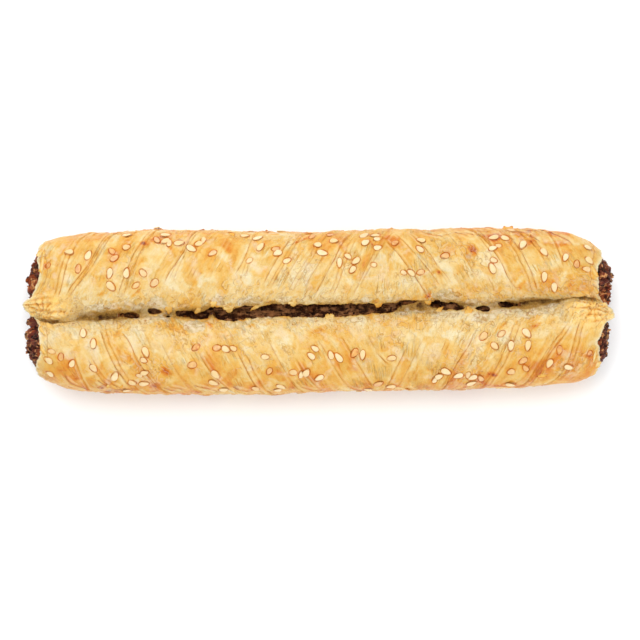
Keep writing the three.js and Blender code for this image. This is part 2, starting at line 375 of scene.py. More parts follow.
# upper lobe
fold([(56.8, 299.5), (61.3, 287.5), (66.9, 261.8), (75.8, 246.2), (85, 236.5)], "pleat", 0.36, 1.5, 12)
fold([(66, 296.1), (72.2, 285), (82.2, 273.9), (91.1, 261.7), (99, 247.8), (105, 238.6)], "pleat", -0.4, 1.3, 12)
fold([(76.7, 288.2), (86.7, 270.4), (96.9, 253.7), (103, 244)], "edge", 0.22, 0, 8)
fold([(117.3, 296.5), (126.3, 272), (132.4, 257.3), (139.5, 246.4), (147, 235.5), (152, 231)], "pleat", 0.38, -1.7, 12)
fold([(150, 288), (155, 276), (163, 262), (170, 251), (177, 238)], "edge", -0.16, 0, 8, rows=False)
fold([(163.3, 285), (168.7, 271.8), (177.7, 260.7), (185.4, 249.7), (194.4, 232.8)], "edge", 0.34, 0, 12)
fold([(171.6, 282.8), (178.5, 267), (185.4, 252.8), (190, 243)], "pleat", 0.24, 1.1, 6)
fold([(190, 281.7), (194, 272), (198.8, 264.1)], "pleat", 0.3, 1.2)
fold([(208, 283), (213, 270), (219, 257), (226, 243)], "edge", 0.14, 0, 8, rows=False)
fold([(234.4, 276), (242.3, 264), (247.8, 251.7), (253.3, 236.2)], "edge", -0.34, 0, 12)
fold([(243.3, 280.6), (246.5, 272), (250.6, 262.9)], "pleat", 0.3, 1.2)
fold([(262, 287), (268, 274), (275, 262), (281, 252)], "edge", 0.26, 0, 6)
fold([(269, 291), (276, 277), (283, 266), (291, 252), (298, 241)], "pleat", 0.28, 1.0, 8)
fold([(281, 287), (287, 275), (294, 264), (300, 254)], "edge", 0.22, 0, 4)
fold([(288, 292), (295, 279), (303, 266), (311, 254), (318, 242)], "pleat", 0.26, -1.1, 8)
fold([(304, 290), (310, 278), (317, 267), (323, 258)], "edge", -0.2, 0, 4)
fold([(314, 296), (321, 283), (328, 270), (335, 258), (341, 246)], "edge", 0.28, 0, 8)
fold([(331, 298), (338, 284), (343, 269), (350, 252)], "pleat", 0.3, 1.3, 6)
fold([(352, 296), (358, 284), (364, 271), (371, 258)], "edge", 0.24, 0, 6)
fold([(360, 286), (367, 272), (375, 258), (382, 247), (390, 236)], "edge", 0.2, 0, 3)
# the V where the folds change their slant, and the next ones from the right
fold([(428, 296), (418, 280), (406, 264), (396, 251), (388, 243)], "edge", -0.32, 0, 3)
fold([(441, 287), (430, 272), (419, 259), (407, 246), (398, 237)], "edge", 0.3, 0, 3)
fold([(452, 284), (445, 274), (437, 266), (428, 257)], "pleat", 0.2, 1.0)
# lower lobe
fold([(73.3, 351.7), (77.8, 368.3), (85.6, 384), (94.6, 391.2)], "edge", -0.34, 0, 12)
fold([(86.7, 357.2), (92.2, 366.1), (100, 377.2), (112.2, 386.1), (120, 391)], "pleat", 0.36, 1.3, 12)
fold([(100, 328.3), (105.6, 346.1), (114.4, 365), (123.3, 378.3), (131.1, 387.2)], "pleat", 0.4, 1.7, 12)
fold([(120, 330.6), (130, 342.8), (135.6, 358.3), (143.3, 369.4), (150, 378.3)], "edge", -0.36, 0, 12)
fold([(142.2, 328.3), (148.9, 341.7), (152, 349)], "edge", 0.2)
fold([(140, 363.9), (151.1, 380.6), (159, 390.7)], "pleat", 0.34, 1.4, 12)
fold([(160, 340), (167, 354), (175, 368), (184, 381), (190, 389)], "edge", 0.18, 0, 10)
fold([(176, 333), (182, 345), (189, 357)], "edge", -0.14, 0, 0, rows=False)
fold([(197.8, 350.8), (206.7, 366.2), (215.6, 377.2), (228.9, 388.3)], "edge", 0.36, 0, 12)
fold([(203, 346.8), (211, 358), (219, 369)], "edge", 0.16)
fold([(236.7, 350.6), (244.4, 365), (251.1, 378.3), (256.7, 386.1)], "pleat", 0.42, 2.2, 12)
fold([(268, 340), (275, 354), (283, 368), (291, 381)], "edge", -0.22, 0, 10)
fold([(295.6, 357.4), (304.4, 372.8), (315.6, 383.9)], "edge", 0.34, 0, 12)
fold([(318, 338), (325, 351), (333, 364), (341, 377)], "edge", 0.24, 0, 10)
fold([(340, 334), (348, 348), (356, 361), (365, 375), (371, 385)], "edge", -0.26, 0, 3)
fold([(374, 349), (381, 357), (390.5, 366)], "edge", 0.34, 0, 0)
fold([(366, 332), (372, 343), (379, 354)], "edge", 0.16)
fold([(408, 345), (402, 358), (394, 372), (386, 388)], "edge", 0.3, 0, 4)
fold([(423, 338), (416, 352), (409, 366), (402, 380)], "edge", -0.2, 0, 10)
# torn edges of thin layers low on the lobes, browned; seen almost edge on in the photograph
for _p, _a, _t in (
    ([(64.0, 374.0), (66.6, 378.6), (71.2, 382.2), (77.5, 385.4), (85.5, 387.8), (93, 389.6)], 0.42, 2.2),
    ([(97.5, 379.2), (101.4, 382.3), (106.2, 384.2), (110, 386.2), (117, 387.8), (124, 388.8)], 0.4, 2.4),
    ([(110, 382), (122.5, 386.9), (131.4, 389.1), (136.8, 390.6)], 0.3, 1.3),
    ([(98.4, 389.6), (110, 390.6), (122.5, 391)], 0.35, 2.2),
    ([(117, 367.7), (122.5, 375.7), (128.8, 383.8), (135.9, 388.6), (140.4, 390.2)], 0.3, 1.1),
    ([(163.6, 387), (167.1, 389.6), (172.5, 390.8), (177, 391)], 0.35, 2.0),
    ([(169.8, 386.2), (177.9, 388.4), (184.1, 390.4)], 0.42, 2.6),
    ([(143, 390.2), (152, 391), (161, 390.4)], 0.3, 1.6),
    ([(194, 384.6), (201, 387.2), (210, 389.4), (218, 390.6)], 0.38, 2.2),
    ([(232, 385), (240, 388.4), (250, 390.2)], 0.34, 1.9),
    ([(92, 236.4), (97, 234.6), (104, 233.6)], -0.34, 1.9),
    ([(124, 234.2), (132, 232.8), (141, 232.6)], -0.3, 1.8),
    ([(158, 234.4), (168, 232.8), (178, 232.4)], -0.3, 1.6),
    ([(226, 232.4), (234, 234.4)], 0.3, 1.6),
    ([(266, 234), (274, 235.4), (281, 234.6)], -0.3, 1.6),
    ([(304, 235), (314, 233.8)], 0.3, 1.6),
    ([(440, 236.4), (450, 233.8), (462, 232.4)], -0.3, 1.6),
    ([(300, 386.5), (312, 389.4), (326, 389.6)], 0.35, 2.0),
    ([(346, 385.5), (357, 388.6), (370, 389.4)], 0.35, 2.0),
    ([(390, 383), (400, 386.8), (414, 388.4)], 0.35, 2.0),
):
    fold(_p, "edge", _a, 0, 0, tint=_t, fade=(1.2, 1.2), reach=2.0)

# weaker folds between them and round the parts that the photograph doesn't show
def more_folds():
    r = np.random.default_rng(77)
    for side in (1, -1):
        x = -92.0
        while x < 92:
            x += r.uniform(2.4, 5.2)
            way = 1 if x < 30 + 6 * side else -1
            slope = way * r.uniform(0.42, 0.64)
            start, end = r.uniform(7, 30), r.uniform(46, S0 - 2)
            if r.random() < 0.35:
                start, end = r.uniform(34, 44), S0 - 2
            bend = r.uniform(-2.0, 2.0)
            tt = np.linspace(start, end, 9)
            u = (tt - start) / (end - start)
            xx = x + slope * (tt - start) + bend * np.sin(np.pi * u)
            keep = (np.abs(xx) < 93) & (way * (xx - 30 - 6 * side) < -0.5)
            xx, tt = xx[keep], tt[keep]
            if len(tt) < 4:
                continue
            pleat = r.random() < 0.3
            amp = r.uniform(0.09, 0.22) * (1 if r.random() < 0.5 or pleat else -1)
            folds.append(Fold(np.stack([xx, side * tt], 1), "pleat" if pleat else "edge", amp, r.uniform(0.8, 1.5), (6, 5), 3.0, len(folds), False, 0.6))
        # strong folds low on the sides and under the roll, where nothing is measured
        x = -88.0
        while x < 88:
            x += r.uniform(6, 11)
            way = 1 if x < 30 + 6 * side else -1
            slope = way * r.uniform(0.45, 0.62)
            tt = np.linspace(r.uniform(33, 38), S0 - 1, 8)
            xx = x + slope * (tt - tt[0])
            keep = (np.abs(xx) < 93) & (way * (xx - 30 - 6 * side) < -0.5)
            if keep.sum() < 4:
                continue
            folds.append(
                Fold(np.stack([xx[keep], side * tt[keep]], 1), "pleat" if r.random() < 0.5 else "edge", r.uniform(0.28, 0.46), r.uniform(1.1, 1.8), (5, 3), 4.0, len(folds), False, 1.0)
            )
        # short torn edges of single layers, lower on the sides
        for _ in range(26):
            x, t0 = r.uniform(-90, 86), r.uniform(36.5, 46)
            ln = r.uniform(3.5, 13)
            slope = r.uniform(-0.1, 0.5) * (1 if x < 27 else -1)
            uu = np.linspace(0, 1, 7)
            xx = x + ln * uu
            tt = t0 + slope * ln * uu + r.uniform(-0.9, 0.9) * np.sin(np.pi * uu)
            if xx.max() < 92:
                folds.append(
                    Fold(np.stack([xx, side * tt], 1), "edge", r.uniform(0.25, 0.45) * r.choice([-1, 1]), 0, (1.2, 1.2), 2.0, len(folds), False, r.uniform(1.0, 1.7))
                )


more_folds()


def step(v):
    return 0.5 * (1 + np.tanh(1.6 * v))


def fold_relief(x, t, nz):
    """Height of all folds, distance to the fold line that shows most and its strength, how
    the tone changes from one side of a fold to the other, and how browned a torn edge is."""
    n = len(x)
    h = np.zeros(n)
    near_d = np.full(n, 9.0)
    near_s = np.zeros(n)
    strip = np.zeros(n)
    burn = np.zeros(n)
    for f in folds:
        who, d, along = f.measure(x, t)
        if len(who) == 0:
            continue
        s = f.strength(along)
        amp = abs(f.amp) * s
        level = min(1.2, abs(f.amp) / 0.36) * s
        if f.amp < 0:
            d = -d
        if f.kind == "edge":
            rise = step(d / 0.13) * np.exp(-np.maximum(d, 0) / f.reach)
            h[who] += amp * (rise + 0.25 * bell(d - 0.3, 0.3) - 0.2 * bell(d + 0.3, 0.3))
            strip[who] += level * np.tanh(d / 0.25) * np.exp(-np.abs(d) / 2.8)
            if f.tint > 1.05:
                flat_d = d * np.maximum(nz[who], 0.5)
                torn = min(1.5, f.tint - 0.9) * s * np.clip(0.6 + 1.2 * noise1(along / 1.8, 500 + f.seed), 0.1, 1.2) * np.where(d > 0, np.exp(-flat_d / 0.3), np.exp(-((flat_d / 0.15) ** 2)))
                burn[who] = np.maximum(burn[who], torn)
            lines = [(d, 1.0)]
        else:
            w = f.wide(along)
            if f.width < 0:
                w, d = -w, -d
            w = np.maximum(np.abs(w), 0.35)
            box = step(d / 0.15) * step((w - d) / 0.15)
            crown = 1 - 0.4 * np.clip((d - w / 2) / (w / 2), -1, 1) ** 2
            h[who] += amp * (box * crown - 0.16 * (bell(d + 0.3, 0.3) + bell(d - w - 0.3, 0.3)))
            strip[who] += level * (0.5 * box + 0.45 * bell(d - w - 1.1, 1.3) - 0.45 * bell(d + 1.1, 1.3))
            lines = [(d, 1.0), (w - d, 0.8)]
        for dd, k in lines:
            a = np.abs(dd + 0.08)
            if f.tint > 1.05:
                a = a * np.clip(nz[who] * 1.05, 0.5, 1.0)
            show = min(1.2, abs(f.amp) / 0.36) * s * k * f.tint
            if f.tint > 1.05:
                show = show * np.clip(0.85 + 0.8 * noise1(along / 1.3, 520 + f.seed), 0.25, 1.15)
            old = near_s[who] * bell(near_d[who], 0.35) + 0.001 / (1 + near_d[who])
            new = show * bell(a, 0.35) + 0.001 / (1 + a)
            win = new > old
            idx = who[win]
            near_d[idx] = a[win]
            near_s[idx] = show[win]
    return h, near_d, near_s, strip, burn


# ---------------------------------------------------------------------------------------------------------
# The crack along the valley: holes through the crust, as (pixel x, upper edge, lower edge)
SLIT = [(119, 315.2, 316), (122, 314, 316.4), (125, 313.6, 316.4), (128, 313, 317), (131, 312.7, 317.9), (134, 312.7, 318), (137, 313.6, 317.6), (139.5, 315, 316.6)]
PIT = [(147.5, 309.2, 311.6), (150, 307.8, 314), (153, 307.5, 315), (156, 308, 314.8), (159, 309, 313.6), (162.4, 310, 311.4)]
PORE = [(166, 315.6, 316.4), (167.5, 314.6, 317.4), (169, 314.8, 317.4), (170.5, 315.8, 316.6)]
LONG = [(175.5, 312.3, 313.2), (178, 311.3, 316.5), (181, 311.8, 317.2), (184, 311, 317.2), (188, 311.6, 316.4), (192, 311.8, 319), (196, 313.2, 319.4), (200, 312.6, 318.8), (204, 311, 318.8), (206.5, 309.8, 318), (209, 308.6, 315.6), (211.5, 306.9, 314.4), (214.5, 306.8, 315.4), (217.5, 307, 317.8), (221, 308.4, 319.8), (224, 311, 320.6), (228, 311.2, 320.6), (232, 310.6, 321.4), (236, 308.8, 320.6), (240, 307.4, 319.6), (244, 305.2, 318), (248, 305.6, 317.5), (252, 305.6, 318.2), (256, 308.6, 317.4), (262, 307, 316.8), (268, 304.6, 316.6), (276, 303.8, 316.2), (284, 304.4, 315.8), (292, 304, 316.4), (300, 305, 316.6), (308, 304.8, 317), (316, 304.4, 316.8), (326, 305.4, 316.6), (336, 304.4, 316), (346, 304, 315.6), (356, 304.2, 315.2), (366, 303.4, 314), (374, 304.4, 312.4), (380, 304.8, 312.8), (386, 304.6, 312.4), (392, 303, 312), (396, 303.2, 309.4), (400, 301, 307), (404, 299.2, 306.4), (408, 300.4, 304.8), (413, 300.8, 303.8), (419, 301.9, 303)]
LAST = [(430, 304.5, 305.5), (433, 302.6, 307.2), (436, 299.3, 307.2), (440, 300.8, 307.4), (444, 303.1, 309.8), (448, 303.4, 308.6), (452, 302.8, 309.2), (456, 303, 309.4), (460, 305.1, 310), (465, 306.8, 308.4)]


def outline(rows, turned=False, seed=0):
    """Ragged closed outline of a hole on the sheet, anticlockwise."""
    upper = np.array([from_photo(x, a) for x, a, b in rows])
    lower = np.array([from_photo(x, b) for x, a, b in rows])
    loop = np.concatenate([lower, upper[::-1]])
    if turned:
        loop = -loop
    closed = np.concatenate([loop, loop[:1]])
    step_ = np.hypot(*np.diff(closed, axis=0).T)
    run = np.concatenate([[0], np.cumsum(step_)])
    n = max(10, int(run[-1] / 0.36))
    want = np.linspace(0, run[-1], n, endpoint=False)
    p = np.stack([np.interp(want, run, closed[:, k]) for k in (0, 1)], 1)
    for _ in range(2):
        p = 0.2 * np.roll(p, 1, 0) + 0.6 * p + 0.2 * np.roll(p, -1, 0)
    tangent = np.roll(p, -1, 0) - np.roll(p, 1, 0)
    tangent /= np.maximum(np.linalg.norm(tangent, axis=1, keepdims=True), 1e-6)
    normal = np.stack([tangent[:, 1], -tangent[:, 0]], 1)
    size = min(1.0, run[-1] / 22)
    a = 0.34 * noise1(want / 0.9, 900 + seed) + 0.3 * noise1(want / 2.6, 930 + seed) + (0.25 * noise1(want / 0.55, 945 + seed) if seed > 3 else 0)
    teeth = np.maximum(0, noise1(want / 1.3, 960 + seed) - 0.25)
    a = size * (a - 0.7 * teeth) * smoothstep(0, 1.2, np.minimum(want, run[-1] - want))
    p = p + normal * a[:, None]
    area = 0.5 * np.sum(p[:, 0] * np.roll(p[:, 1], -1) - np.roll(p[:, 0], -1) * p[:, 1])
    return p if area > 0 else p[::-1]


holes = [
    outline(SLIT, False, 1), outline(PIT, False, 2), outline(PORE, False, 3), outline(LONG, False, 4), outline(LAST, False, 5),
    outline(SLIT, True, 1), outline(PIT, True, 2),
]


def in_loop(p, loop):
    x, y = p[:, 0], p[:, 1]
    inside = np.zeros(len(p), bool)
    lo, hi = loop.min(0), loop.max(0)
    box = np.where((x >= lo[0]) & (x <= hi[0]) & (y >= lo[1]) & (y <= hi[1]))[0]
    if len(box) == 0:
        return inside
    bx, by = x[box], y[box]
    hit = np.zeros(len(box), bool)
    n = len(loop)
    for i in range(n):
        x1, y1 = loop[i]
        x2, y2 = loop[(i + 1) % n]
        if y1 == y2:
            continue
        c = ((y1 > by) != (y2 > by)) & (bx < (x2 - x1) * (by - y1) / (y2 - y1) + x1)
        hit ^= c
    inside[box] = hit
    return inside


def loop_distance(p, loop, reach):
    """Distance to a closed loop for points within reach of it, else reach."""
    out = np.full(len(p), float(reach))
    lo, hi = loop.min(0) - reach, loop.max(0) + reach
    box = np.where((p[:, 0] >= lo[0]) & (p[:, 0] <= hi[0]) & (p[:, 1] >= lo[1]) & (p[:, 1] <= hi[1]))[0]
    if len(box) == 0:
        return out
    q = p[box]
    best = np.full(len(q), float(reach) ** 2)
    n = len(loop)
    for i in range(n):
        a = loop[i]
        ab = loop[(i + 1) % n] - a
        near = np.abs(q[:, 0] - a[0]) < reach + abs(ab[0])
        ap = q[near] - a
        u = np.clip((ap @ ab) / max(ab @ ab, 1e-9), 0, 1)
        d = ap - u[:, None] * ab
        best[near] = np.minimum(best[near], (d**2).sum(1))
    out[box] = np.sqrt(best)
    return out


def hole_distance(x, t, reach=8.0):
    p = np.stack([x, t], 1)
    d = np.full(len(p), reach)
    for loop in holes:
        d = np.minimum(d, loop_distance(p, loop, reach))
    return d


# Shut creases, as paths in pixels with a depth and width in millimetres
CREASES = [
    ([(33, 317.6), (41, 320.6), (50, 322.4), (60, 322), (70, 320.6), (80, 318.4)], 0.8, 0.42),
    ([(42, 319.8), (46, 320.8), (51, 321.6), (57, 321.4)], 1.5, 0.62),
    ([(79, 318.6), (90, 318), (98, 318.2), (106, 317.4), (114, 316.2), (122, 315.2)], 1.3, 0.55),
    ([(137, 316), (143, 316.5), (148, 316)], 0.5, 0.6),
    ([(167, 315), (176, 314)], 0.6, 0.7),
    ([(418, 302.5), (424, 303), (431, 305)], 0.6, 0.9),
]
creases = []
for _path, _deep, _wide in CREASES:
    _p = np.array([from_photo(*q) for q in _path])
    creases.append((_p, _deep, _wide))
    if _path[0][0] < 240:
        creases.append((-_p, _deep, _wide))


def path_distance(x, t, path, reach):
    d2 = np.full(len(x), reach**2)
    for a, b in zip(path[:-1], path[1:]):
        ab = b - a
        ax, at = x - a[0], t - a[1]
        u = np.clip((ax * ab[0] + at * ab[1]) / (ab @ ab), 0, 1)
        d2 = np.minimum(d2, (ax - u * ab[0]) ** 2 + (at - u * ab[1]) ** 2)
    return np.sqrt(d2)


# ---------------------------------------------------------------------------------------------------------
# Sesame seeds, as pixels: place, angle, length, width, and how brown and how sunk into the dough each one is
SEEDS_LEFT = [
    (69.1, 252.7, -15, 8.5, 5, 0, 0), (88.1, 255.3, 65, 9, 6.2, 0, 0), (78.2, 268.7, 85, 8.5, 5.5, 0.8, 0.4), (48, 265.5, 60, 5, 3.6, 0.9, 0.5),
    (126.7, 247.6, 20, 7, 5.5, 0.3, 0.2), (127.1, 235.3, -5, 9, 4, 0, 0), (111.8, 251.5, -50, 7, 5, 0.8, 0.4), (114.6, 258.5, 30, 8.5, 5.5, 0.7, 0.3),
    (109.5, 273.5, 80, 10.2, 5.8, 0, 0), (126.7, 273.1, 85, 9.6, 6.1, 0, 0), (142.9, 272.8, -45, 8.5, 5.8, 0.2, 0.1), (111, 286.1, -50, 10.5, 7, 0.05, 0),
    (154.3, 283, 45, 9, 6.5, 0.3, 0.2), (136, 285.3, 30, 8, 5, 0.2, 0.7), (156.9, 240.1, -60, 7.5, 5, 0.6, 0.2), (165.9, 236.3, 8, 9, 4.2, 0, 0),
    (165.2, 241.8, 30, 8.5, 5.5, 0, 0), (169.4, 244.4, 75, 6.5, 4.6, 0.2, 0.1), (179.3, 244.2, 12, 9.8, 5, 0, 0), (191.5, 248.9, -25, 10.2, 6.3, 0, 0),
    (198.5, 244.2, 20, 7.5, 5.2, 0, 0), (203.2, 240.9, 80, 6, 4.6, 0.1, 0), (212.5, 253.6, 30, 8.5, 5, 0.4, 0.2),
    (83.3, 333.1, -83, 9.5, 6, 0, 0), (93.5, 343.7, 88, 10, 5.8, 0, 0), (145.5, 352.2, -68, 11, 6.2, 0, 0), (143.7, 360.3, -25, 7, 5, 0.2, 0.1),
    (51.5, 351.3, 5, 8.5, 5, 0.2, 0.6), (48.5, 360.5, -22, 8.5, 6, 0, 0), (61, 356.7, 80, 8, 5.4, 0.7, 0.3), (72.1, 363.1, 65, 8, 5.5, 0, 0),
    (50.2, 373.3, 0, 7.5, 5.8, 0, 0), (93.5, 368.5, -50, 8.6, 6, 0.1, 0.1), (114.8, 375.8, 62, 10, 7, 0, 0), (144.6, 372.2, 10, 8, 4.8, 0, 0),
    (139.1, 375.2, -10, 6.5, 4, 0.2, 0.5), (132.2, 381.9, -15, 8, 4.6, 0, 0), (144.2, 383.2, 5, 9.8, 5, 0, 0), (127.3, 389.6, -10, 7, 3.5, 0.2, 0),
    (195.9, 347.5, 35, 8.5, 5.4, 1.0, 0.2), (217, 348, 12, 8.2, 5.8, 0.7, 0.3), (225.9, 349, -30, 8.5, 6, 0, 0), (233.2, 348.4, -30, 7, 5, 0.1, 0),
    (192.1, 365, 10, 8.8, 7, 0.5, 0.3), (215.7, 373.9, -45, 10, 6.4, 0, 0), (213.8, 382.8, -25, 9, 6.3, 0, 0), (223.7, 389.2, 12, 8, 4.4, 0, 0),
]
SEEDS_MIDDLE = [
    (245, 235.9, 0, 8.5, 3.2, 0, 0), (257.8, 238.3, 15, 8.5, 4.6, 0, 0), (260.7, 247.6, 50, 8.8, 5.6, 0, 0), (249.2, 260.8, 35, 7, 4.5, 0.1, 0.5),
    (275.6, 248.9, 10, 8, 4, 0.6, 0.5), (277.6, 253.6, 20, 8.6, 5.8, 0, 0), (287.1, 260.8, 25, 8, 5, 0, 0), (311.9, 237.2, 40, 5, 4, 0.8, 0.3),
    (330.6, 236.1, 20, 6, 3, 0.8, 0.3), (334, 242.9, -5, 8, 5, 0, 0), (317.4, 246, -5, 7.5, 4.6, 0, 0), (322.5, 253.4, -12, 10.5, 5.5, 0, 0),
    (339.5, 262.9, 88, 10, 5, 0, 0), (348, 256.9, -45, 8, 5, 0, 0), (355.7, 261, 35, 9, 5.5, 0, 0), (352.5, 269.7, 50, 8, 5.5, 0, 0),
    (364.2, 235.9, 20, 8, 4.5, 0.2, 0), (365.9, 243.4, 35, 7.8, 5.8, 0, 0), (375.2, 235.5, 10, 8.5, 4.2, 0, 0), (378, 239.2, 5, 8, 4.5, 0.1, 0.5),
    (377.8, 248, 12, 8, 5, 0, 0), (373.5, 264.8, -10, 6, 4, 0.2, 0.6), (395.2, 243.8, 25, 6.5, 4.8, 0.8, 0.2), (265.4, 356.7, -5, 8, 5, 0, 0),
    (269.3, 371, 60, 7, 5, 0.6, 0.3), (255.2, 387.2, -15, 6.5, 4.6, 0.2, 0), (281.1, 385.8, -20, 8, 4.8, 0, 0), (277.6, 389.4, 0, 8, 3, 0, 0),
    (300.9, 374.5, 80, 7, 4.5, 0, 0), (306.3, 372, 60, 8, 6.5, 0, 0), (292.9, 372.6, 0, 7, 6, 0.1, 0.6), (314.9, 348.4, -30, 8, 5, 0, 0),
    (311, 356, -40, 8.5, 5.5, 0, 0), (330.8, 354.8, -75, 8.5, 5.5, 0, 0), (338.5, 357.3, -50, 10.5, 5.8, 0, 0), (354.4, 352.9, 55, 9.5, 6, 1.0, 0.1),
    (362.7, 354.8, 85, 9.6, 5.3, 0, 0), (319.1, 377.3, 22, 8.8, 5.3, 0, 0), (391.4, 358, 5, 9, 5, 0, 0), (378.6, 383.5, 25, 8, 5.2, 0.7, 0.2),
    (367.8, 388.2, -5, 8, 3.2, 0, 0), (390.8, 385.7, 5, 9, 4, 0, 0), (420.6, 241.2, -20, 8.2, 5, 0, 0), (419.8, 249.3, -40, 8.4, 5.4, 0.2, 0.2),
    (445, 256, 10, 8.4, 5.6, 0.5, 0.3), (403.8, 272.6, -25, 6, 4.4, 0.1, 0), (411.2, 272.6, -35, 8.6, 5.4, 0, 0), (420.4, 272.3, 15, 7.6, 5, 0.4, 0.5),
]


class Seed:
    pass


def place_seeds():
    r = np.random.default_rng(5)
    rows = []
    for s in SEEDS_LEFT:
        rows.append((s, False))
        # the right part has the left part's seeds, turned by half a turn; two seeds there are placed by themselves
        if not (s[0] > 210 and s[1] < 300) and not (s[0] > 190 and s[1] > 340 and s[0] < 236):
            rows.append((s, True))
    rows += [(s, False) for s in SEEDS_MIDDLE]
    out = []
    for (px, py, ang, ln, wd, brown, sunk), turned in rows:
        x, t = from_photo(px, py)
        _, n = sheet_point([x], [t])
        slope = float(n[0, 2])
        seed = Seed()
        seed.x, seed.t = (-x, -t) if turned else (x, t)
        seed.angle = math.radians(ang) + TURN * -1
        # a seed on a steep side looks narrow from above
        across = abs(math.sin(math.radians(ang)))
        grow = 1 / max(0.35, slope)
        seed.long = min(ln * PX * (1 + (grow - 1) * across), 3.6)
        seed.wide = 0.93 * min(max(wd * PX * (1 + (grow - 1) * (1 - across)), 1.5), 2.25)
        seed.long = max(seed.long, seed.wide * 1.3 if ln > 6.2 else seed.wide * 1.15)
        seed.brown, seed.sunk = brown, sunk
        seed.tone = r.uniform(0, 1)
        seed.lean = r.uniform(-0.16, 0.16), r.uniform(-0.1, 0.1)
        out.append(seed)
    # a few on the sides, where the photograph doesn't look
    for _ in range(15):
        seed = Seed()
        seed.x = r.uniform(-88, 88)
        seed.t = r.choice([-1, 1]) * r.uniform(35.5, 42)
        seed.angle = r.uniform(-1.5, 1.5)
        seed.long, seed.wide = r.uniform(2.9, 3.3), r.uniform(1.8, 2.1)
        seed.brown, seed.sunk, seed.tone = r.choice([0, 0, 0.3, 0.7]), r.uniform(0, 0.3), r.uniform(0, 1)
        seed.lean = r.uniform(-0.1, 0.1), r.uniform(-0.1, 0.1)
        out.append(seed)
    return out


seeds = place_seeds()
for _s in seeds:  # direction of each seed on the sheet
    _p, _n = sheet_point([_s.x], [_s.t])
    _q, _ = sheet_point([_s.x], [_s.t + 0.4])
    _e = (_q - _p)[0] / 0.4  # the sheet's way across
    _d = np.array([math.cos(_s.angle), math.sin(_s.angle)])
    _k = _d[1] / (_e[1] if abs(_e[1]) > 0.3 else 0.3 * np.sign(_e[1] or 1))
    _w = np.array([_d[0], _k])
    _s.way = _w / np.linalg.norm(_w)
    _s.point, _s.normal = _p[0], _n[0]


def seed_distance(x, t):
    """Signed distance to the nearest seed's outline on the sheet, and how strong the ring round it is: browned, with
    painted contact shadow.
    """
    d = np.full(len(x), 6.0)
    brown = np.zeros(len(x))
    for s in seeds:
        near = np.where((np.abs(x - s.x) < 4) & (np.abs(t - s.t) < 4))[0]
        if len(near) == 0:
            continue
        dx, dt = x[near] - s.x, t[near] - s.t
        u = dx * s.way[0] + dt * s.way[1]
        v = -dx * s.way[1] + dt * s.way[0]
        a, b = s.long / 2, s.wide / 2
        r = np.sqrt((u / a) ** 2 + (v / b) ** 2)
        e = (r - 1) * (a * b / np.sqrt((b * u / np.maximum(np.hypot(u, v), 1e-6)) ** 2 + (a * v / np.maximum(np.hypot(u, v), 1e-6)) ** 2))
        win = e < d[near]
        d[near[win]] = e[win]
        brown[near[win]] = 0.55 + 0.45 * s.brown - 0.25 * s.sunk
    return d, brown


# Toasted marks: pixel, angle, length and width in pixels, strength
MARKS_LEFT = [
    (102.2, 293.9, 20, 11, 3.5, 0.8), (136.1, 292.8, 35, 12, 3, 0.9), (84.4, 298.3, 20, 9, 4, 0.45), (143, 243.5, -20, 9, 3.5, 1.0), (148, 245, 40, 6, 3, 0.7),
    (164.9, 371, -40, 12, 8, 1.0), (209.3, 325.4, 70, 7, 6, 0.6), (103, 386, 20, 9, 4, 1.0), (110, 389, 10, 8, 3, 0.95), (112, 255, 70, 12, 9, 0.4), (157, 239, 20, 14, 6, 0.35),
    (47, 264, 70, 9, 6, 0.6), (117, 335, 65, 12, 5, 0.5), (148, 258, 10, 12, 5, 0.25), (120, 345, 60, 26, 9, 0.28), (190, 372, 20, 20, 8, 0.25), (155, 385, 10, 12, 4, 0.6),
]
MARKS_MIDDLE = [
    (252, 325, 5, 8, 3.5, 0.8), (267, 324, 15, 7, 3, 0.8), (270, 302, 10, 9, 3, 0.8), (296, 243, 25, 9, 1.8, 1.1), (303, 240, 25, 8, 1.6, 1.1), (376, 301, 15, 8, 3.5, 0.8),
    (427.5, 296, 70, 8, 5, 0.95), (439.2, 271.9, -10, 12, 4.5, 0.9), (434, 272, 40, 7, 3, 0.8), (472.6, 249.1, -40, 12, 8, 1.2), (500, 289, 80, 6, 3, 0.6), (497, 238, 10, 12, 6, 0.7),
    (227, 247, 30, 12, 10, 0.3), (300, 368, -40, 14, 8, 0.25), (340, 240, 10, 18, 6, 0.3), (395, 246, 20, 14, 7, 0.3), (460, 345, 60, 14, 6, 0.3), (530, 243, 30, 8, 4, 0.6), (235, 330, 60, 12, 4, 0.3),
]
marks = []
for _m in MARKS_LEFT + MARKS_MIDDLE:
    _x, _t = from_photo(_m[0], _m[1])
    _nz = max(0.5, float(sheet_point([_x], [_t])[1][0, 2]))
    marks.append((_x, _t, math.radians(_m[2]), _m[3] * PX / 2, _m[4] * PX / 2, _m[5], _nz))
    if _m in MARKS_LEFT:
        marks.append((-_x, -_t, math.radians(_m[2]), _m[3] * PX / 2, _m[4] * PX / 2, _m[5] * 0.95, _nz))


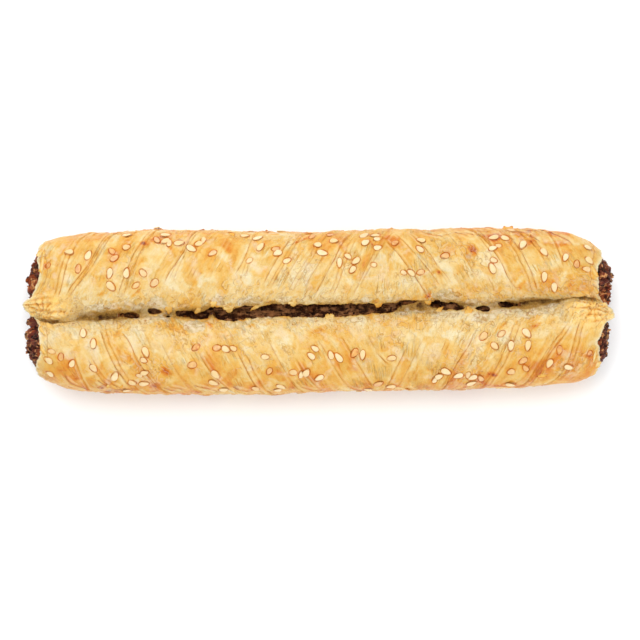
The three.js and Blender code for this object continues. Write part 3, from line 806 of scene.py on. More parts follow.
def mark_amount(x, t):
    total = np.zeros(len(x))
    flat = np.stack([x, t, np.zeros(len(x))], 1)
    for mx, mt, a, ln, wd, s, nz in marks:
        near = np.where((np.abs(x - mx) < 8) & (np.abs(t - mt) < 8))[0]
        if len(near) == 0:
            continue
        q = flat[near]
        k = min(1.0, wd / 1.1)
        dx = x[near] - mx + 0.5 * k * noise3(q / 1.5, 701) + 0.2 * k * noise3(q / 0.6, 703)
        dt = (t[near] - mt) * nz + 0.5 * k * noise3(q / 1.5, 702) + 0.2 * k * noise3(q / 0.6, 704)
        u, v = dx * math.cos(a) + dt * math.sin(a), -dx * math.sin(a) + dt * math.cos(a)
        r = np.sqrt((u / ln) ** 2 + (v / wd) ** 2)
        total[near] = np.maximum(total[near], s * np.clip(1.45 - r, 0, 1) * (0.8 + 0.4 * noise3(q / 1.1, 705)))
    return total


# Grey glassy places where the thin dough shows the moist layer under it: pixel, half sizes in pixels, strength
GLASS_LEFT = [
    (86, 315, 9, 4, 1.0), (100, 308, 11, 4.5, 0.8), (114, 305, 10, 5, 0.7), (128, 306, 9, 5, 0.7), (142, 311, 10, 8, 1.0), (156, 303, 11, 6, 0.8),
    (165, 317, 8, 5, 0.9), (195, 326, 12, 6, 1.0), (186, 305, 8, 3, 0.5), (152, 320, 14, 3.5, 0.6), (80, 309, 9, 5, 0.6),
    (120, 322, 16, 3, 0.4), (204, 299, 5, 3, 0.5),
]
GLASS_MIDDLE = [
    (218, 300, 6, 6, 0.9), (248, 301, 14, 5, 0.8), (262, 316, 12, 5, 0.9), (238, 324, 16, 4, 0.7), (285, 300, 14, 4, 0.5), (300, 320, 18, 4, 0.6), (330, 301, 12, 4, 0.5),
    (345, 320, 14, 4, 0.6), (368, 300, 8, 4, 0.7), (395, 298, 10, 4, 0.6), (405, 311, 12, 5, 0.9), (420, 309, 10, 4, 0.8), (382, 317, 12, 4, 0.6), (450, 297, 10, 4, 0.6), (440, 313, 10, 4, 0.7),
]
glass_spots = []
for _g in GLASS_LEFT + GLASS_MIDDLE:
    _x, _t, _a, _b = patch_on_sheet(*_g[:4])
    glass_spots.append((_x, _t, _a, _b, _g[4] ** 1.6))
    if _g in GLASS_LEFT:
        glass_spots.append((-_x, -_t, _a, _b, _g[4] ** 1.6))


def glass_amount(x, t):
    """Ragged patches with a rather sharp rim."""
    total = np.zeros(len(x))
    flat = np.stack([x, t, np.full(len(x), 3.3)], 1)
    for gx, gt, a, b, s in glass_spots:
        near = np.where((np.abs(x - gx) < 3 * a) & (np.abs(t - gt) < 3 * b))[0]
        if len(near) == 0:
            continue
        q = flat[near]
        r = np.hypot((x[near] - gx) / a, (t[near] - gt) / b)
        r = r + 0.45 * noise3(q / 2.2, 711) + 0.25 * noise3(q / 0.9, 712)
        total[near] = np.maximum(total[near], s * smoothstep(1.15, 0.75, r))
    return total


# Brown places, partly painted shade, where the slope into the crack shows under the torn layer: pixel, half sizes in
# pixels, strength
SLOPES_LEFT = [
    (95, 316.6, 7, 2.2, 0.8), (104, 315, 8, 3.0, 0.95), (114, 313.4, 9, 3.4, 0.95), (125, 312.4, 8, 2.6, 0.8), (135, 313.4, 5, 2.6, 0.75), (99, 318.4, 9, 1.0, 1.5), (112, 317.2, 9, 1.2, 1.6),
    (42, 320.6, 7, 1.5, 0.95), (50, 322.6, 7, 1.2, 0.9), (63, 322.8, 6, 1.1, 0.85), (57, 307, 5, 1.6, 0.45), (64, 309, 6, 1.6, 0.4), (88, 309, 10, 2.0, 0.35),
    (150, 306.8, 5, 1.4, 0.6), (206, 308, 8, 3.0, 0.8), (212, 304.6, 7, 2.0, 0.55), (166, 315.5, 4, 2.4, 0.8), (190, 310.5, 9, 1.6, 0.5),
]
SLOPES_MIDDLE = [
    (232, 309, 10, 2.4, 0.7), (250, 304, 10, 2.4, 0.8), (275, 302.5, 12, 2.2, 0.7), (300, 303, 12, 2.0, 0.6), (330, 303, 14, 2.2, 0.7), (356, 302.4, 12, 2.4, 0.7),
    (395, 310, 8, 2.4, 0.8), (408, 305.5, 10, 2.2, 0.8), (420, 301.8, 7, 1.8, 0.7), (446, 300.6, 8, 1.8, 0.7), (458, 302, 7, 2.0, 0.7), (434, 309, 5, 2.0, 0.5),
]
slope_spots = []
for _g in SLOPES_LEFT + SLOPES_MIDDLE:
    _x, _t, _a, _b = patch_on_sheet(*_g[:4])
    slope_spots.append((_x, _t, _a, _b, _g[4]))
    if _g in SLOPES_LEFT:
        slope_spots.append((-_x, -_t, _a, _b, _g[4]))


def brown_and_shaded_slopes(x, t):
    """Up to 0.55: the crust there is brown with painted shade, never as dark as the crack."""
    total = np.zeros(len(x))
    flat = np.stack([x, t, np.full(len(x), 5.1)], 1)
    for gx, gt, a, b, s in slope_spots:
        near = np.where((np.abs(x - gx) < 2.6 * a) & (np.abs(t - gt) < 3 * b + 1))[0]
        if len(near) == 0:
            continue
        q = flat[near]
        r = np.hypot((x[near] - gx) / a, (t[near] - gt) / b) + 0.35 * noise3(q / 1.6, 713) + 0.2 * noise3(q / 0.7, 714)
        total[near] = np.maximum(total[near], 0.5 * s * smoothstep(1.35, 0.55, r))
    return total


# ---------------------------------------------------------------------------------------------------------
# Ends. The crust's edge in x at each side of the valley; the pinched tongue of dough reaches furthest.
PINCH = from_photo(45.5, 311)
TIP_T = from_photo(27, 304)[1]
BRIDGE = from_photo(158, 314)


END_PX = [(43, 243), (40.4, 246.5), (38.4, 251), (37.4, 257), (38.6, 266), (40.4, 275.5), (38.2, 281), (35.5, 286.7), (34, 292), (31.8, 296.4), (27.5, 299.4), (23.8, 301.6), (23.6, 304.6), (25.4, 308.4), (28.6, 312), (32.4, 315.6), (35.2, 318.6), (38, 321.5), (39.8, 325), (39.2, 331), (39.8, 340), (40.6, 350), (39.6, 357), (37, 362), (35.4, 367), (38.8, 375), (43, 380.5)]
_end = np.array([from_photo(*q) for q in END_PX])[::-1]
_end = _end[np.argsort(_end[:, 1])]


def end_x(t, sign):
    """How far the crust reaches at the end of that sign, as a positive length."""
    s = -sign * t  # the left end's own t, as the right end is the left one turned
    x = -np.interp(s, _end[:, 1], _end[:, 0])
    x = np.where(np.abs(s) > 33, 92.9 + (x - 92.9) * smoothstep(37, 31, np.abs(s)), x)
    which = int(sign > 0)
    ragged = 0.3 * noise1(s / 1.7, 50 + which) + 0.22 * noise1(s / 0.7, 52 + which) + 0.35 * noise1(s / 5.0, 54 + which)
    return x + ragged * smoothstep(66, 48, np.abs(s))


# ---------------------------------------------------------------------------------------------------------
# Points on the sheet
def even(path, gap):
    run = np.concatenate([[0], np.cumsum(np.hypot(*np.diff(path, axis=0).T))])
    n = max(2, int(round(run[-1] / gap)))
    want = np.linspace(0, run[-1], n + 1)
    return np.stack([np.interp(want, run, path[:, k]) for k in (0, 1)], 1)


def spacing(t):
    a = np.abs(t)
    return np.interp(a, [0, 4, 30, 37, 44, 50, S0], [0.43, 0.5, 0.52, 0.62, 0.95, 1.6, 2.0]) * FINE


FINE = 1.0


def sheet_points():
    cell = 0.12
    nx, nt = int(210 / cell), int((2 * S0 + 8) / cell)
    taken = np.zeros((nx, nt), bool)

    def index(p):
        return np.clip(((p[:, 0] + 105) / cell).astype(int), 0, nx - 1), np.clip(((p[:, 1] + S0 + 4) / cell).astype(int), 0, nt - 1)

    def take(p, gap):
        k = int(math.ceil(gap / cell))
        i, j = index(p)
        for a in range(-k, k + 1):
            for b in range(-k, k + 1):
                if a * a + b * b <= (gap / cell) ** 2:
                    taken[np.clip(i + a, 0, nx - 1), np.clip(j + b, 0, nt - 1)] = True

    def free(p):
        i, j = index(p)
        return ~taken[i, j]

    # ends: the boundary runs from one seam to the other
    ts = [-S0]
    while ts[-1] < S0:
        ts.append(ts[-1] + float(np.interp(abs(ts[-1]), [0, 40, 50, S0], [0.4, 0.45, 0.9, 1.5])))
    ts = np.array(ts)
    ts = -S0 + (ts + S0) * (2 * S0 / (ts[-1] + S0))
    left = np.stack([-end_x(ts, -1), ts], 1)
    right = np.stack([end_x(ts, 1), ts], 1)
    left[-1, 0], right[-1, 0] = left[0, 0], right[0, 0]
    seam_x = np.linspace(left[0, 0], right[0, 0], 122)[1:-1]
    seam_lo = np.stack([seam_x, np.full(len(seam_x), -S0)], 1)
    seam_hi = np.stack([seam_x, np.full(len(seam_x), S0)], 1)
    fixed = [left, right, seam_lo, seam_hi] + holes
    for p in fixed:
        take(p, 0.2)
    feature = []
    for f in folds:
        if not f.rows:
            continue
        path = even(f.path, 0.5)
        way = np.gradient(path, axis=0)
        way /= np.linalg.norm(way, axis=1, keepdims=True)
        side = np.stack([-way[:, 1], way[:, 0]], 1)
        run = np.linspace(0, f.run[-1], len(path))
        sg = -1 if f.amp < 0 else 1
        if f.kind == "edge":
            offs = [np.full(len(path), o * sg) for o in (-0.5, -0.14, 0.14, 0.5)]
        else:
            w = f.wide(run)
            sg2 = sg * (-1 if f.width < 0 else 1)
            w = np.abs(w)
            offs = [np.full(len(path), -0.14 * sg2), np.full(len(path), 0.14 * sg2), (w - 0.14) * sg2, (w + 0.14) * sg2]
        for o in offs:
            p = path + side * o[:, None]
            p = p[free(p)]
            if len(p):
                take(p, 0.19)
                feature.append(p)
    for s in seeds:
        for grow, n in ((1.0, 18), (1.32, 20)):
            a = np.linspace(0, 2 * np.pi, n, endpoint=False)
            u, v = np.cos(a) * s.long / 2 * grow, np.sin(a) * s.wide / 2 * grow
            p = np.stack([s.x + u * s.way[0] - v * s.way[1], s.t + u * s.way[1] + v * s.way[0]], 1)
            p = p[free(p)]
            if len(p):
                take(p, 0.2)
                feature.append(p)
    # rows parallel to the holes, for the lips
    for loop in holes:
        tangent = np.roll(loop, -1, 0) - np.roll(loop, 1, 0)
        tangent /= np.linalg.norm(tangent, axis=1, keepdims=True)
        out = np.stack([tangent[:, 1], -tangent[:, 0]], 1)
        for o in (0.25, 0.55):
            p = loop + out * o
            for other in holes:
                p = p[~in_loop(p, other)]
            p = p[free(p)]
            if len(p):
                take(p, 0.2)
                feature.append(p)
    grid = []
    t, k = -S0 + 1.2, 0
    r = np.random.default_rng(9)
    while t < S0 - 1.0:
        sp = float(spacing(t))
        xs = np.arange(-100, 100, sp) + (sp / 2 if k % 2 else 0)
        p = np.stack([xs, np.full(len(xs), t)], 1) + r.uniform(-0.13, 0.13, (len(xs), 2)) * sp
        p = p[(p[:, 0] > -end_x(p[:, 1], -1) + 0.3 * sp) & (p[:, 0] < end_x(p[:, 1], 1) - 0.3 * sp)]
        i, j = index(p)
        ok = ~taken[i, j]
        # a little wider berth from the feature points than their own
        for a, b in ((1, 0), (-1, 0), (0, 1), (0, -1)):
            ok &= ~taken[np.clip(i + a, 0, nx - 1), np.clip(j + b, 0, nt - 1)]
        p = p[ok]
        for loop in holes:
            p = p[~in_loop(p, loop)]
        grid.append(p)
        t += sp * 0.866
        k += 1
    inner = np.concatenate(feature + grid)
    inside = (inner[:, 0] > -end_x(inner[:, 1], -1) + 0.12) & (inner[:, 0] < end_x(inner[:, 1], 1) - 0.12) & (np.abs(inner[:, 1]) < S0 - 0.6)
    inner = inner[inside]
    for loop in holes:
        inner = inner[~in_loop(inner, loop)]
    return left, right, seam_lo, seam_hi, inner


def triangulate(left, right, seam_lo, seam_hi, inner):
    """Delaunay triangles of the sheet, with the ends and holes as its edges. Returns points, triangles, the point
    number of each boundary point, in the order left, right, low seam, high seam, holes."""
    groups = [left, right, seam_lo, seam_hi] + holes
    pts = np.concatenate(groups + [inner])
    start = np.cumsum([0] + [len(g) for g in groups])
    edges = []
    for gi in (0, 1):
        edges += [(start[gi] + k, start[gi] + k + 1) for k in range(len(groups[gi]) - 1)]
    for gi, e0, e1 in ((2, start[0], start[1]), (3, start[0] + len(left) - 1, start[1] + len(right) - 1)):
        chain = [e0] + [start[gi] + k for k in range(len(groups[gi]))] + [e1]
        edges += list(zip(chain[:-1], chain[1:]))
    for gi in range(4, len(groups)):
        n = len(groups[gi])
        edges += [(start[gi] + k, start[gi] + (k + 1) % n) for k in range(n)]
    r = delaunay_2d_cdt([Vector(p) for p in pts], [(int(a), int(b)) for a, b in edges], [], 0, 1e-7)
    out = np.array([v[:] for v in r[0]])
    tris = np.array([f for f in r[2] if len(f) == 3], int)
    where = np.full(len(pts), -1)
    for i, src in enumerate(r[3]):
        for s in src:
            where[s] = i
    c = out[tris].mean(1)
    keep = (c[:, 0] > -np.interp(c[:, 1], left[:, 1], -left[:, 0])) & (c[:, 0] < np.interp(c[:, 1], right[:, 1], right[:, 0]))
    for loop in holes:
        keep &= ~in_loop(c, loop)
    tris = tris[keep]
    a, b, d = out[tris[:, 0]], out[tris[:, 1]], out[tris[:, 2]]
    area = (b[:, 0] - a[:, 0]) * (d[:, 1] - a[:, 1]) - (b[:, 1] - a[:, 1]) * (d[:, 0] - a[:, 0])
    tris = tris[np.abs(area) > 1e-9]
    area = area[np.abs(area) > 1e-9]
    tris[area < 0] = tris[area < 0][:, ::-1]
    return out, tris, [where[start[i] : start[i + 1]] for i in range(len(groups))]


# Small blisters of the thin outer layer
def make_blisters():
    r = np.random.default_rng(31)
    out = []
    for _ in range(260):  # bubbly strip beside the valley
        out.append((r.uniform(-88, 88), r.normal(0, 5), r.uniform(0.45, 1.1), r.uniform(0.1, 0.3)))
    for gx, gt, a, b, s in glass_spots:
        for _ in range(3):
            out.append((gx + r.normal(0, 0.6) * a, gt + r.normal(0, 0.6) * b, r.uniform(0.5, 1.2), r.uniform(0.1, 0.22)))
    for _ in range(170):
        out.append((r.uniform(-92, 92), r.uniform(-42, 42), r.uniform(0.6, 2.4), r.uniform(0.06, 0.22)))
    for px, py, ax, ay, count in ((83, 315, 8, 4, 26), (157, 304, 9, 5, 5), (150, 317, 8, 3, 7), (190, 322, 8, 4, 5), (173, 309, 6, 4, 5), (262, 318, 10, 3, 6), (405, 311, 10, 3, 6), (218, 299, 5, 5, 4)):
        for way in (1, -1) if px < 200 else (1,):
            cx, ct = from_photo(px, py)
            for _ in range(count):
                out.append((way * (cx + r.normal(0, 0.55) * ax * PX), way * (ct + r.normal(0, 0.55) * ay * PX), r.uniform(0.35, 0.8), r.uniform(0.16, 0.36)))
    for _ in range(34):  # low wide swellings where a layer has lifted
        out.append((r.uniform(-90, 90), r.uniform(-40, 40), r.uniform(3, 7), r.uniform(0.2, 0.5)))
    return out


blisters = make_blisters()


def along_folds(x, t):
    """Place across the folds, straightened out, and which way they slant."""
    way = np.where(x < 27, 1.0, -1.0) * smoothstep(0, 18, np.abs(x - 27))
    return x - way * 0.53 * np.abs(t)


def crust_relief(x, t, base, with_seeds=True):
    """Height over the smooth sheet and the masks that the crust's material reads."""
    n = len(x)
    a = np.abs(t)
    zero = np.zeros(n)
    under = smoothstep(45, 51, a)
    hole = hole_distance(x, t)
    nz = np.clip(sheet_point(x, t)[1][:, 2], 0.25, 1.0)  # how much a length across the sheet shortens seen from above
    fh, line_d, line_s, strip, burn = fold_relief(x, t, nz)
    calm = smoothstep(1.5, 7, a)  # little relief right in the valley
    h = fh * (0.3 + 0.7 * calm) * (1 - 0.7 * under)
    # slow lumps, and the wrapped strips' own soft ropes
    h += 0.4 * fractal(base / 11.0, 11, 2) * (1 - 0.85 * under) * (0.4 + 0.6 * calm)
    across = along_folds(x, t)
    h += 0.3 * noise3(np.stack([across / 5.2, t / 17.0, np.sign(t) * 4.0], 1), 13) * (1 - 0.7 * under) * calm
    h += 0.13 * noise3(base / 3.4, 14) * (1 - 0.6 * under)
    # fine wrinkles that run with the folds
    w = noise3(np.stack([across / 1.5, t / 8.0, np.sign(t) * 7.0 + zero], 1), 21)
    w2 = noise3(np.stack([across / 0.9, t / 5.0, np.sign(t) * 5.0 + zero], 1), 22)
    patch = smoothstep(-0.35, 0.4, noise3(base / 12.0, 23))
    ridge = 1 - np.abs(w) * 2.2
    wrinkle = (0.11 * ridge + 0.04 * w2) * patch
    h += wrinkle * smoothstep(3, 8, a) * (1 - 0.7 * under)
    # crumpled strip beside the valley
    warp = np.stack([noise3(base / 2.6, 42), noise3(base / 2.6, 43), noise3(base / 2.6, 44)], 1) * 1.1
    crumple = 1 - 2.2 * np.abs(noise3((base + warp) / 2.1, 45))
    h += 0.15 * crumple * bell(t, 9.5) * smoothstep(0.2, 1.5, hole)
    h += 0.14 * fractal(base / 1.5, 41, 2) * bell(t, 6.0) * smoothstep(0.2, 1.5, hole)
    bent = np.stack([noise3(base / 1.9, 241), noise3(base / 1.9, 242), noise3(base / 1.9, 243)], 1)
    torn = fractal(np.stack([across / 4.2 + 0.5 * bent[:, 0], t / 6.5 + 0.4 * bent[:, 1], np.sign(t) * 11.0 + zero], 1), 244, 3)
    flaky = np.maximum(bell(t, 10.0), 0.75 * smoothstep(0.05, 0.3, noise3(base / 14.0, 247))) * (1 - 0.6 * under) * smoothstep(0.3, 1.6, hole)
    h += flaky * 0.13 * (step((torn - 0.12) / 0.03) + step((torn + 0.2) / 0.03) - 1)
    for bx, bt, br, bh in blisters:
        near = np.where((np.abs(x - bx) < br) & (np.abs(t - bt) < br))[0]
        if len(near):
            r2 = ((x[near] - bx) ** 2 + (t[near] - bt) ** 2) / br**2
            h[near] += bh * np.clip(1 - r2, 0, 1) ** 1.5
    # torn lips: they stand up in some places and hang in others
    curl = noise3(np.stack([x / 2.4, np.sign(t), zero], 1), 61)
    h += bell(hole, 0.9) * (0.1 + 0.8 * curl) * 0.8
    crease_shade = zero.copy()
    for path, deep, wide in creases:
        d = path_distance(x, t, path, 4)
        k = 0.75 + 0.25 * noise1(x / 3.0, 71)
        h -= deep * bell(d, wide) * k
        h += 0.1 * deep * bell(d - wide * 2.0, wide) * k
        # painted shade along each crease, near black in the material
        crease_shade = np.maximum(crease_shade, bell(d, wide * 0.8) * min(0.9, deep) * k)
    # the pinched tongue: ridges gather at one point at each end
    tongue = zero.copy()
    ridge_t = zero.copy()
    pleat_d = np.full(n, 9.0)
    pleat_s = zero.copy()
    knot = zero.copy()
    for sx in (1, -1):
        dx, dt = x * sx - PINCH[0], t * sx - PINCH[1]
        r = np.hypot(dx, dt)
        ang = np.arctan2(dt, dx)
        mask = smoothstep(11.0, 2.0, r) * smoothstep(0.2, 1.2, r)
        turn = ang * 11 / (2 * np.pi) + 0.3 * noise1(r / 2.2, 81) + 0.3 * noise1(ang * 2.1, 85)
        saw = 1 - 2 * np.abs((turn % 1.0) - 0.5)
        ridges = 1.9 * saw**1.3 - 0.75
        h += 0.46 * ridges * mask + 0.3 * bell(r - 1.6, 1.2) - 0.5 * bell(r, 0.7)
        gap = saw / 2 * 2 * np.pi / 11 * r
        show = (0.5 + 0.5 * _hash(np.round(turn).astype(int) % 11, np.full(n, 3), np.full(n, sx), 87) / 0xFFFFFFFF) * smoothstep(8.5, 5.5, r) * smoothstep(0.5, 1.4, r) * smoothstep(6.0, 3.0, dt)
        knot += 0.1 * bell(r - 1.0, 2.6) - 0.3 * smoothstep(-96.5, -98.6, x * sx)
        win = (gap < pleat_d) & (show > 0.05)
        pleat_d[win], pleat_s[win] = gap[win], show[win]
        h += 0.8 * bell(dx - 1.6, 6.0) * bell(dt + 1.7, 1.5)
        ridge_t += ridges * mask
        tip = smoothstep(-87.5, -91.5, x * sx) * bell(t * sx - TIP_T - 0.2, 4.6)
        fan = (t * sx - TIP_T) / (0.55 + 0.45 * smoothstep(-99, -90, x * sx))
        pull = 1 - 2 * np.abs(((fan * 0.42 + 0.1 * noise1(x * sx / 2.0, 82) + 0.06 * noise1(fan * 2, 83)) % 1.0) - 0.5)
        h += (0.55 * pull**1.6 + 0.14 * np.cos(fan * 5.3 + 1) + 0.2) * tip + 0.4 * bell(r, 4.0) * smoothstep(1.2, -0.6, dt)
        ridge_t += (2.2 * pull**1.6 - 0.9 + 0.4 * np.cos(fan * 5.3 + 1)) * tip
        win = (tip > 0.3) & (pull / 0.84 < pleat_d)
        pleat_d[win], pleat_s[win] = pull[win] / 0.84, 0.7 * tip[win]
        tongue = np.maximum(tongue, np.maximum(0.95 * smoothstep(11, 5, r) * smoothstep(9.0, 5.0, dt), tip))
    # the cut edge's thin rim stands off a little and is uneven, with a hem beside it
    edge = np.where(x < 0, x + end_x(t, -1), end_x(t, 1) - x)
    rim = bell(edge, 1.3) * (1 - under)
    h += rim * (0.25 + 0.6 * noise3(np.stack([t / 2.2, np.sign(x), zero], 1), 91))
    hem = 2.7 + 0.8 * noise1(t / 5.0, 92)
    h += (0.24 * bell(edge - hem, 0.55) - 0.16 * bell(edge - hem - 0.7, 0.4)) * (1 - under) * smoothstep(4, 8, a) * smoothstep(-0.3, 0.2, noise1(t / 9.0 + 3 * np.sign(x), 93))
    seed_d, seed_b = seed_distance(x, t) if with_seeds else (np.full(n, 6.0), zero)
    h += 0.1 * bell(seed_d - 0.25, 0.35) - 0.12 * smoothstep(0.1, -0.5, seed_d)
    # the valley and the crack stay open
    open_ = bell(t, 3.4) * (1 - 0.8 * tongue)
    h -= open_ * (0.85 * np.maximum(h, 0) + 0.3)
    for sx in (1, -1):
        bx, bt = (x * sx - BRIDGE[0]), (t * sx - BRIDGE[1])
        h += 0.75 * bell(bx, 4.3) * bell(bt, 3.4) * (0.85 + 0.5 * noise3(base / 1.6, 72))
    h = np.where(a > 54, h * 0.5, h)
    # the base is pressed flat on what it stands on
    flat = smoothstep(0.9, 0.05, base[:, 2])
    h = h * (1 - 0.72 * flat)
    win = (pleat_s > 0.05) & (pleat_d < line_d)
    line_d, line_s = np.where(win, pleat_d, line_d), np.where(win, pleat_s, line_s)
    m = dict(torn=torn, flaky=flaky, line_d=line_d, line_s=line_s, hole=hole, crease_shade=crease_shade, tongue=tongue, edge=np.clip(edge, 0, 6), seed_d=seed_d, seed_b=seed_b)
    if not with_seeds:
        return h, m

    # ---- how far each place is baked: 0 cream, 0.4 gold, 0.7 orange, 1 brown
    warp = np.stack([noise3(base / 7.0, 201), noise3(base / 7.0, 202), noise3(base / 7.0, 203)], 1) * 3.4
    warp += np.stack([noise3(base / 2.5, 204), noise3(base / 2.5, 205), noise3(base / 2.5, 206)], 1) * 0.9
    q = base + warp
    tone = np.interp(a, [0, 6, 12, 18, 24, 30, 36, 46, 60], TONE_AT)
    # the upper lobe, which faces the light, is painted paler and the lower one more orange; on the right part the slope
    # above the valley is painted darker and the slope below it paler: painted light and shade over the baked tone
    tone = tone + np.where(t < 0, 0.055 * bell(a - 21, 9), -0.05 * bell(a - 21, 9) - 0.07 * bell(a - 32, 7) * smoothstep(40, 10, x)) + 0.24 * smoothstep(26, 44, x) * bell(t - 6.2, 4.0) + 0.05 * smoothstep(26, 44, x) * bell(t + 27, 9) - 0.14 * smoothstep(26, 44, x) * bell(t + 4, 3)
    tone = tone + 0.2 * fractal(base / 16.0, 211, 2) + 0.24 * fractal(q / 6.5, 212, 3) + 0.05 * fractal(q / 2.0, 213, 2)
    tone += 0.1 * noise3(np.stack([across / 2.6 + 0.3 * warp[:, 0], t / 11.0, np.sign(t) * 9.0], 1), 214)
    tone += 0.03 * noise3(np.stack([across / 1.1, t / 8.0, np.sign(t) * 6.0], 1), 216) * patch
    stain = fractal(q / 6.5 + 31, 215, 2)
    tone += 0.1 * bell(stain - 0.2, 0.05) + 0.09 * smoothstep(0.14, 0.3, stain)
    pale = fractal(q / 6.0 + 57, 217, 2)
    tone -= 0.16 * smoothstep(0.12, 0.34, pale)
    tone += 0.15 * strip - 0.07 * wrinkle / 0.14
    tone += 0.1 * bell(seed_d, 1.1) * seed_b
    # the tongue's ridge tops are painted paler and its furrows darker: painted light and shade of its ridges
    tone = tone * (1 - 0.8 * tongue) + 0.8 * tongue * (0.36 - 0.17 * ridge_t + knot)
    toast = mark_amount(x, t)
    tone += 0.56 * toast + 0.22 * burn
    tone += 0.22 * bell(hole, 0.8) * smoothstep(-0.2, 0.5, noise3(base / 3.0, 218)) + 0.2 * bell(hole, 0.25)
    tone -= 0.3 * bell(edge, 1.0) * (1 - under) * (1 - tongue)
    # grey glassy places
    glass = glass_amount(x, t) * (1 - (2 * toast).clip(0, 1))
    loose = fractal(q / 4.5 + 11, 219, 2)
    glass = np.maximum(glass, 0.2 * smoothstep(0.26, 0.34, loose) * smoothstep(11, 3, a))
    glass = glass * (1 - 0.9 * tongue)
    clear = 1 - (1.6 * toast).clip(0, 1)
    # frosty places: pale patches of fine bubbles, and painted sheen in a band on the lobes' crests
    frost = smoothstep(0.1, 0.34, fractal(q / 6.0 + 83, 220, 3)) * smoothstep(6, 12, a) * smoothstep(34, 24, a)
    frost = np.maximum(frost, 0.8 * smoothstep(0.08, 0.3, fractal(q / 3.6 + 47, 221, 2)) * bell(t + 8.0 * np.where(x < 27, 1, -1), 6)) * clear
    # the slopes into the crack are painted darker: painted shade of the valley, wider on the upper side, over brown
    # dough in the measured places
    wide = np.where(t > 0, 2.6, 1.7) * (1 + 0.3 * noise1(x / 7.0, 222))
    deep = np.exp(-((a / wide) ** 1.8)) * (0.62 + 0.45 * noise3(base / 2.2, 223)) * smoothstep(86, 74, np.abs(x))
    deep = deep * (1 - 0.85 * np.maximum(bell(x - BRIDGE[0], 6.5), bell(x + BRIDGE[0], 6.5))) * smoothstep(84, 76, np.abs(x))
    deep = np.maximum(deep, brown_and_shaded_slopes(x, t)) * (1 - 0.95 * tongue)
    deep = np.clip(np.maximum(deep, 1.0 * crease_shade), 0, 1.2)
    m.update(tone=tone, glass=glass, frost=frost, deep=deep)
    return h, m


TONE_AT = [0.26, 0.26, 0.3, 0.38, 0.44, 0.48, 0.54, 0.56, 0.52]


def displaced(x, t, with_seeds=True):
    base, normal = sheet_point(x, t)
    h, masks = crust_relief(x, t, base, with_seeds)
    p = base + normal * h[:, None]
    # nothing reaches below the plane it stands on
    p[:, 2] = np.maximum(p[:, 2], 0.0)
    return p, normal, h, masks


# ---------------------------------------------------------------------------------------------------------
# Mesh helpers
def make_object(name, verts, faces, smooth=True):
    """Mesh from millimetre points and triangles."""
    me = bpy.data.meshes.new(name)
    verts = np.asarray(verts, np.float32) * MM
    faces = np.asarray(faces, np.int32)
    me.vertices.add(len(verts))
    me.vertices.foreach_set("co", verts.ravel())
    me.loops.add(len(faces) * 3)
    me.loops.foreach_set("vertex_index", faces.ravel())
    me.polygons.add(len(faces))
    me.polygons.foreach_set("loop_start", np.arange(0, len(faces) * 3, 3, dtype=np.int32))
    me.polygons.foreach_set("loop_total", np.full(len(faces), 3, np.int32))
    me.polygons.foreach_set("use_smooth", np.full(len(faces), smooth))
    me.update(calc_edges=True)
    me.validate()
    o = bpy.data.objects.new(name, me)
    bpy.context.scene.collection.objects.link(o)
    return o


def put(o, name, values):
    a = o.data.attributes.new(name, "FLOAT", "POINT")
    a.data.foreach_set("value", np.asarray(values, np.float32))


def put_vector(o, name, values):
    a = o.data.attributes.new(name, "FLOAT_VECTOR", "POINT")
    a.data.foreach_set("vector", np.asarray(values, np.float32).ravel())


def put_uv(o, uv):
    layer = o.data.uv_layers.new(name="OFBake")
    loops = np.zeros(len(o.data.loops), np.int32)
    o.data.loops.foreach_get("vertex_index", loops)
    layer.data.foreach_set("uv", np.asarray(uv, np.float32)[loops].ravel())


CRUST_MASKS = ["torn", "flaky", "line_d", "line_s", "hole", "edge", "seed_d", "seed_b", "tone", "glass", "frost", "deep", "tongue"]


depths = []  # of each point, from the outer sheet to the inner one


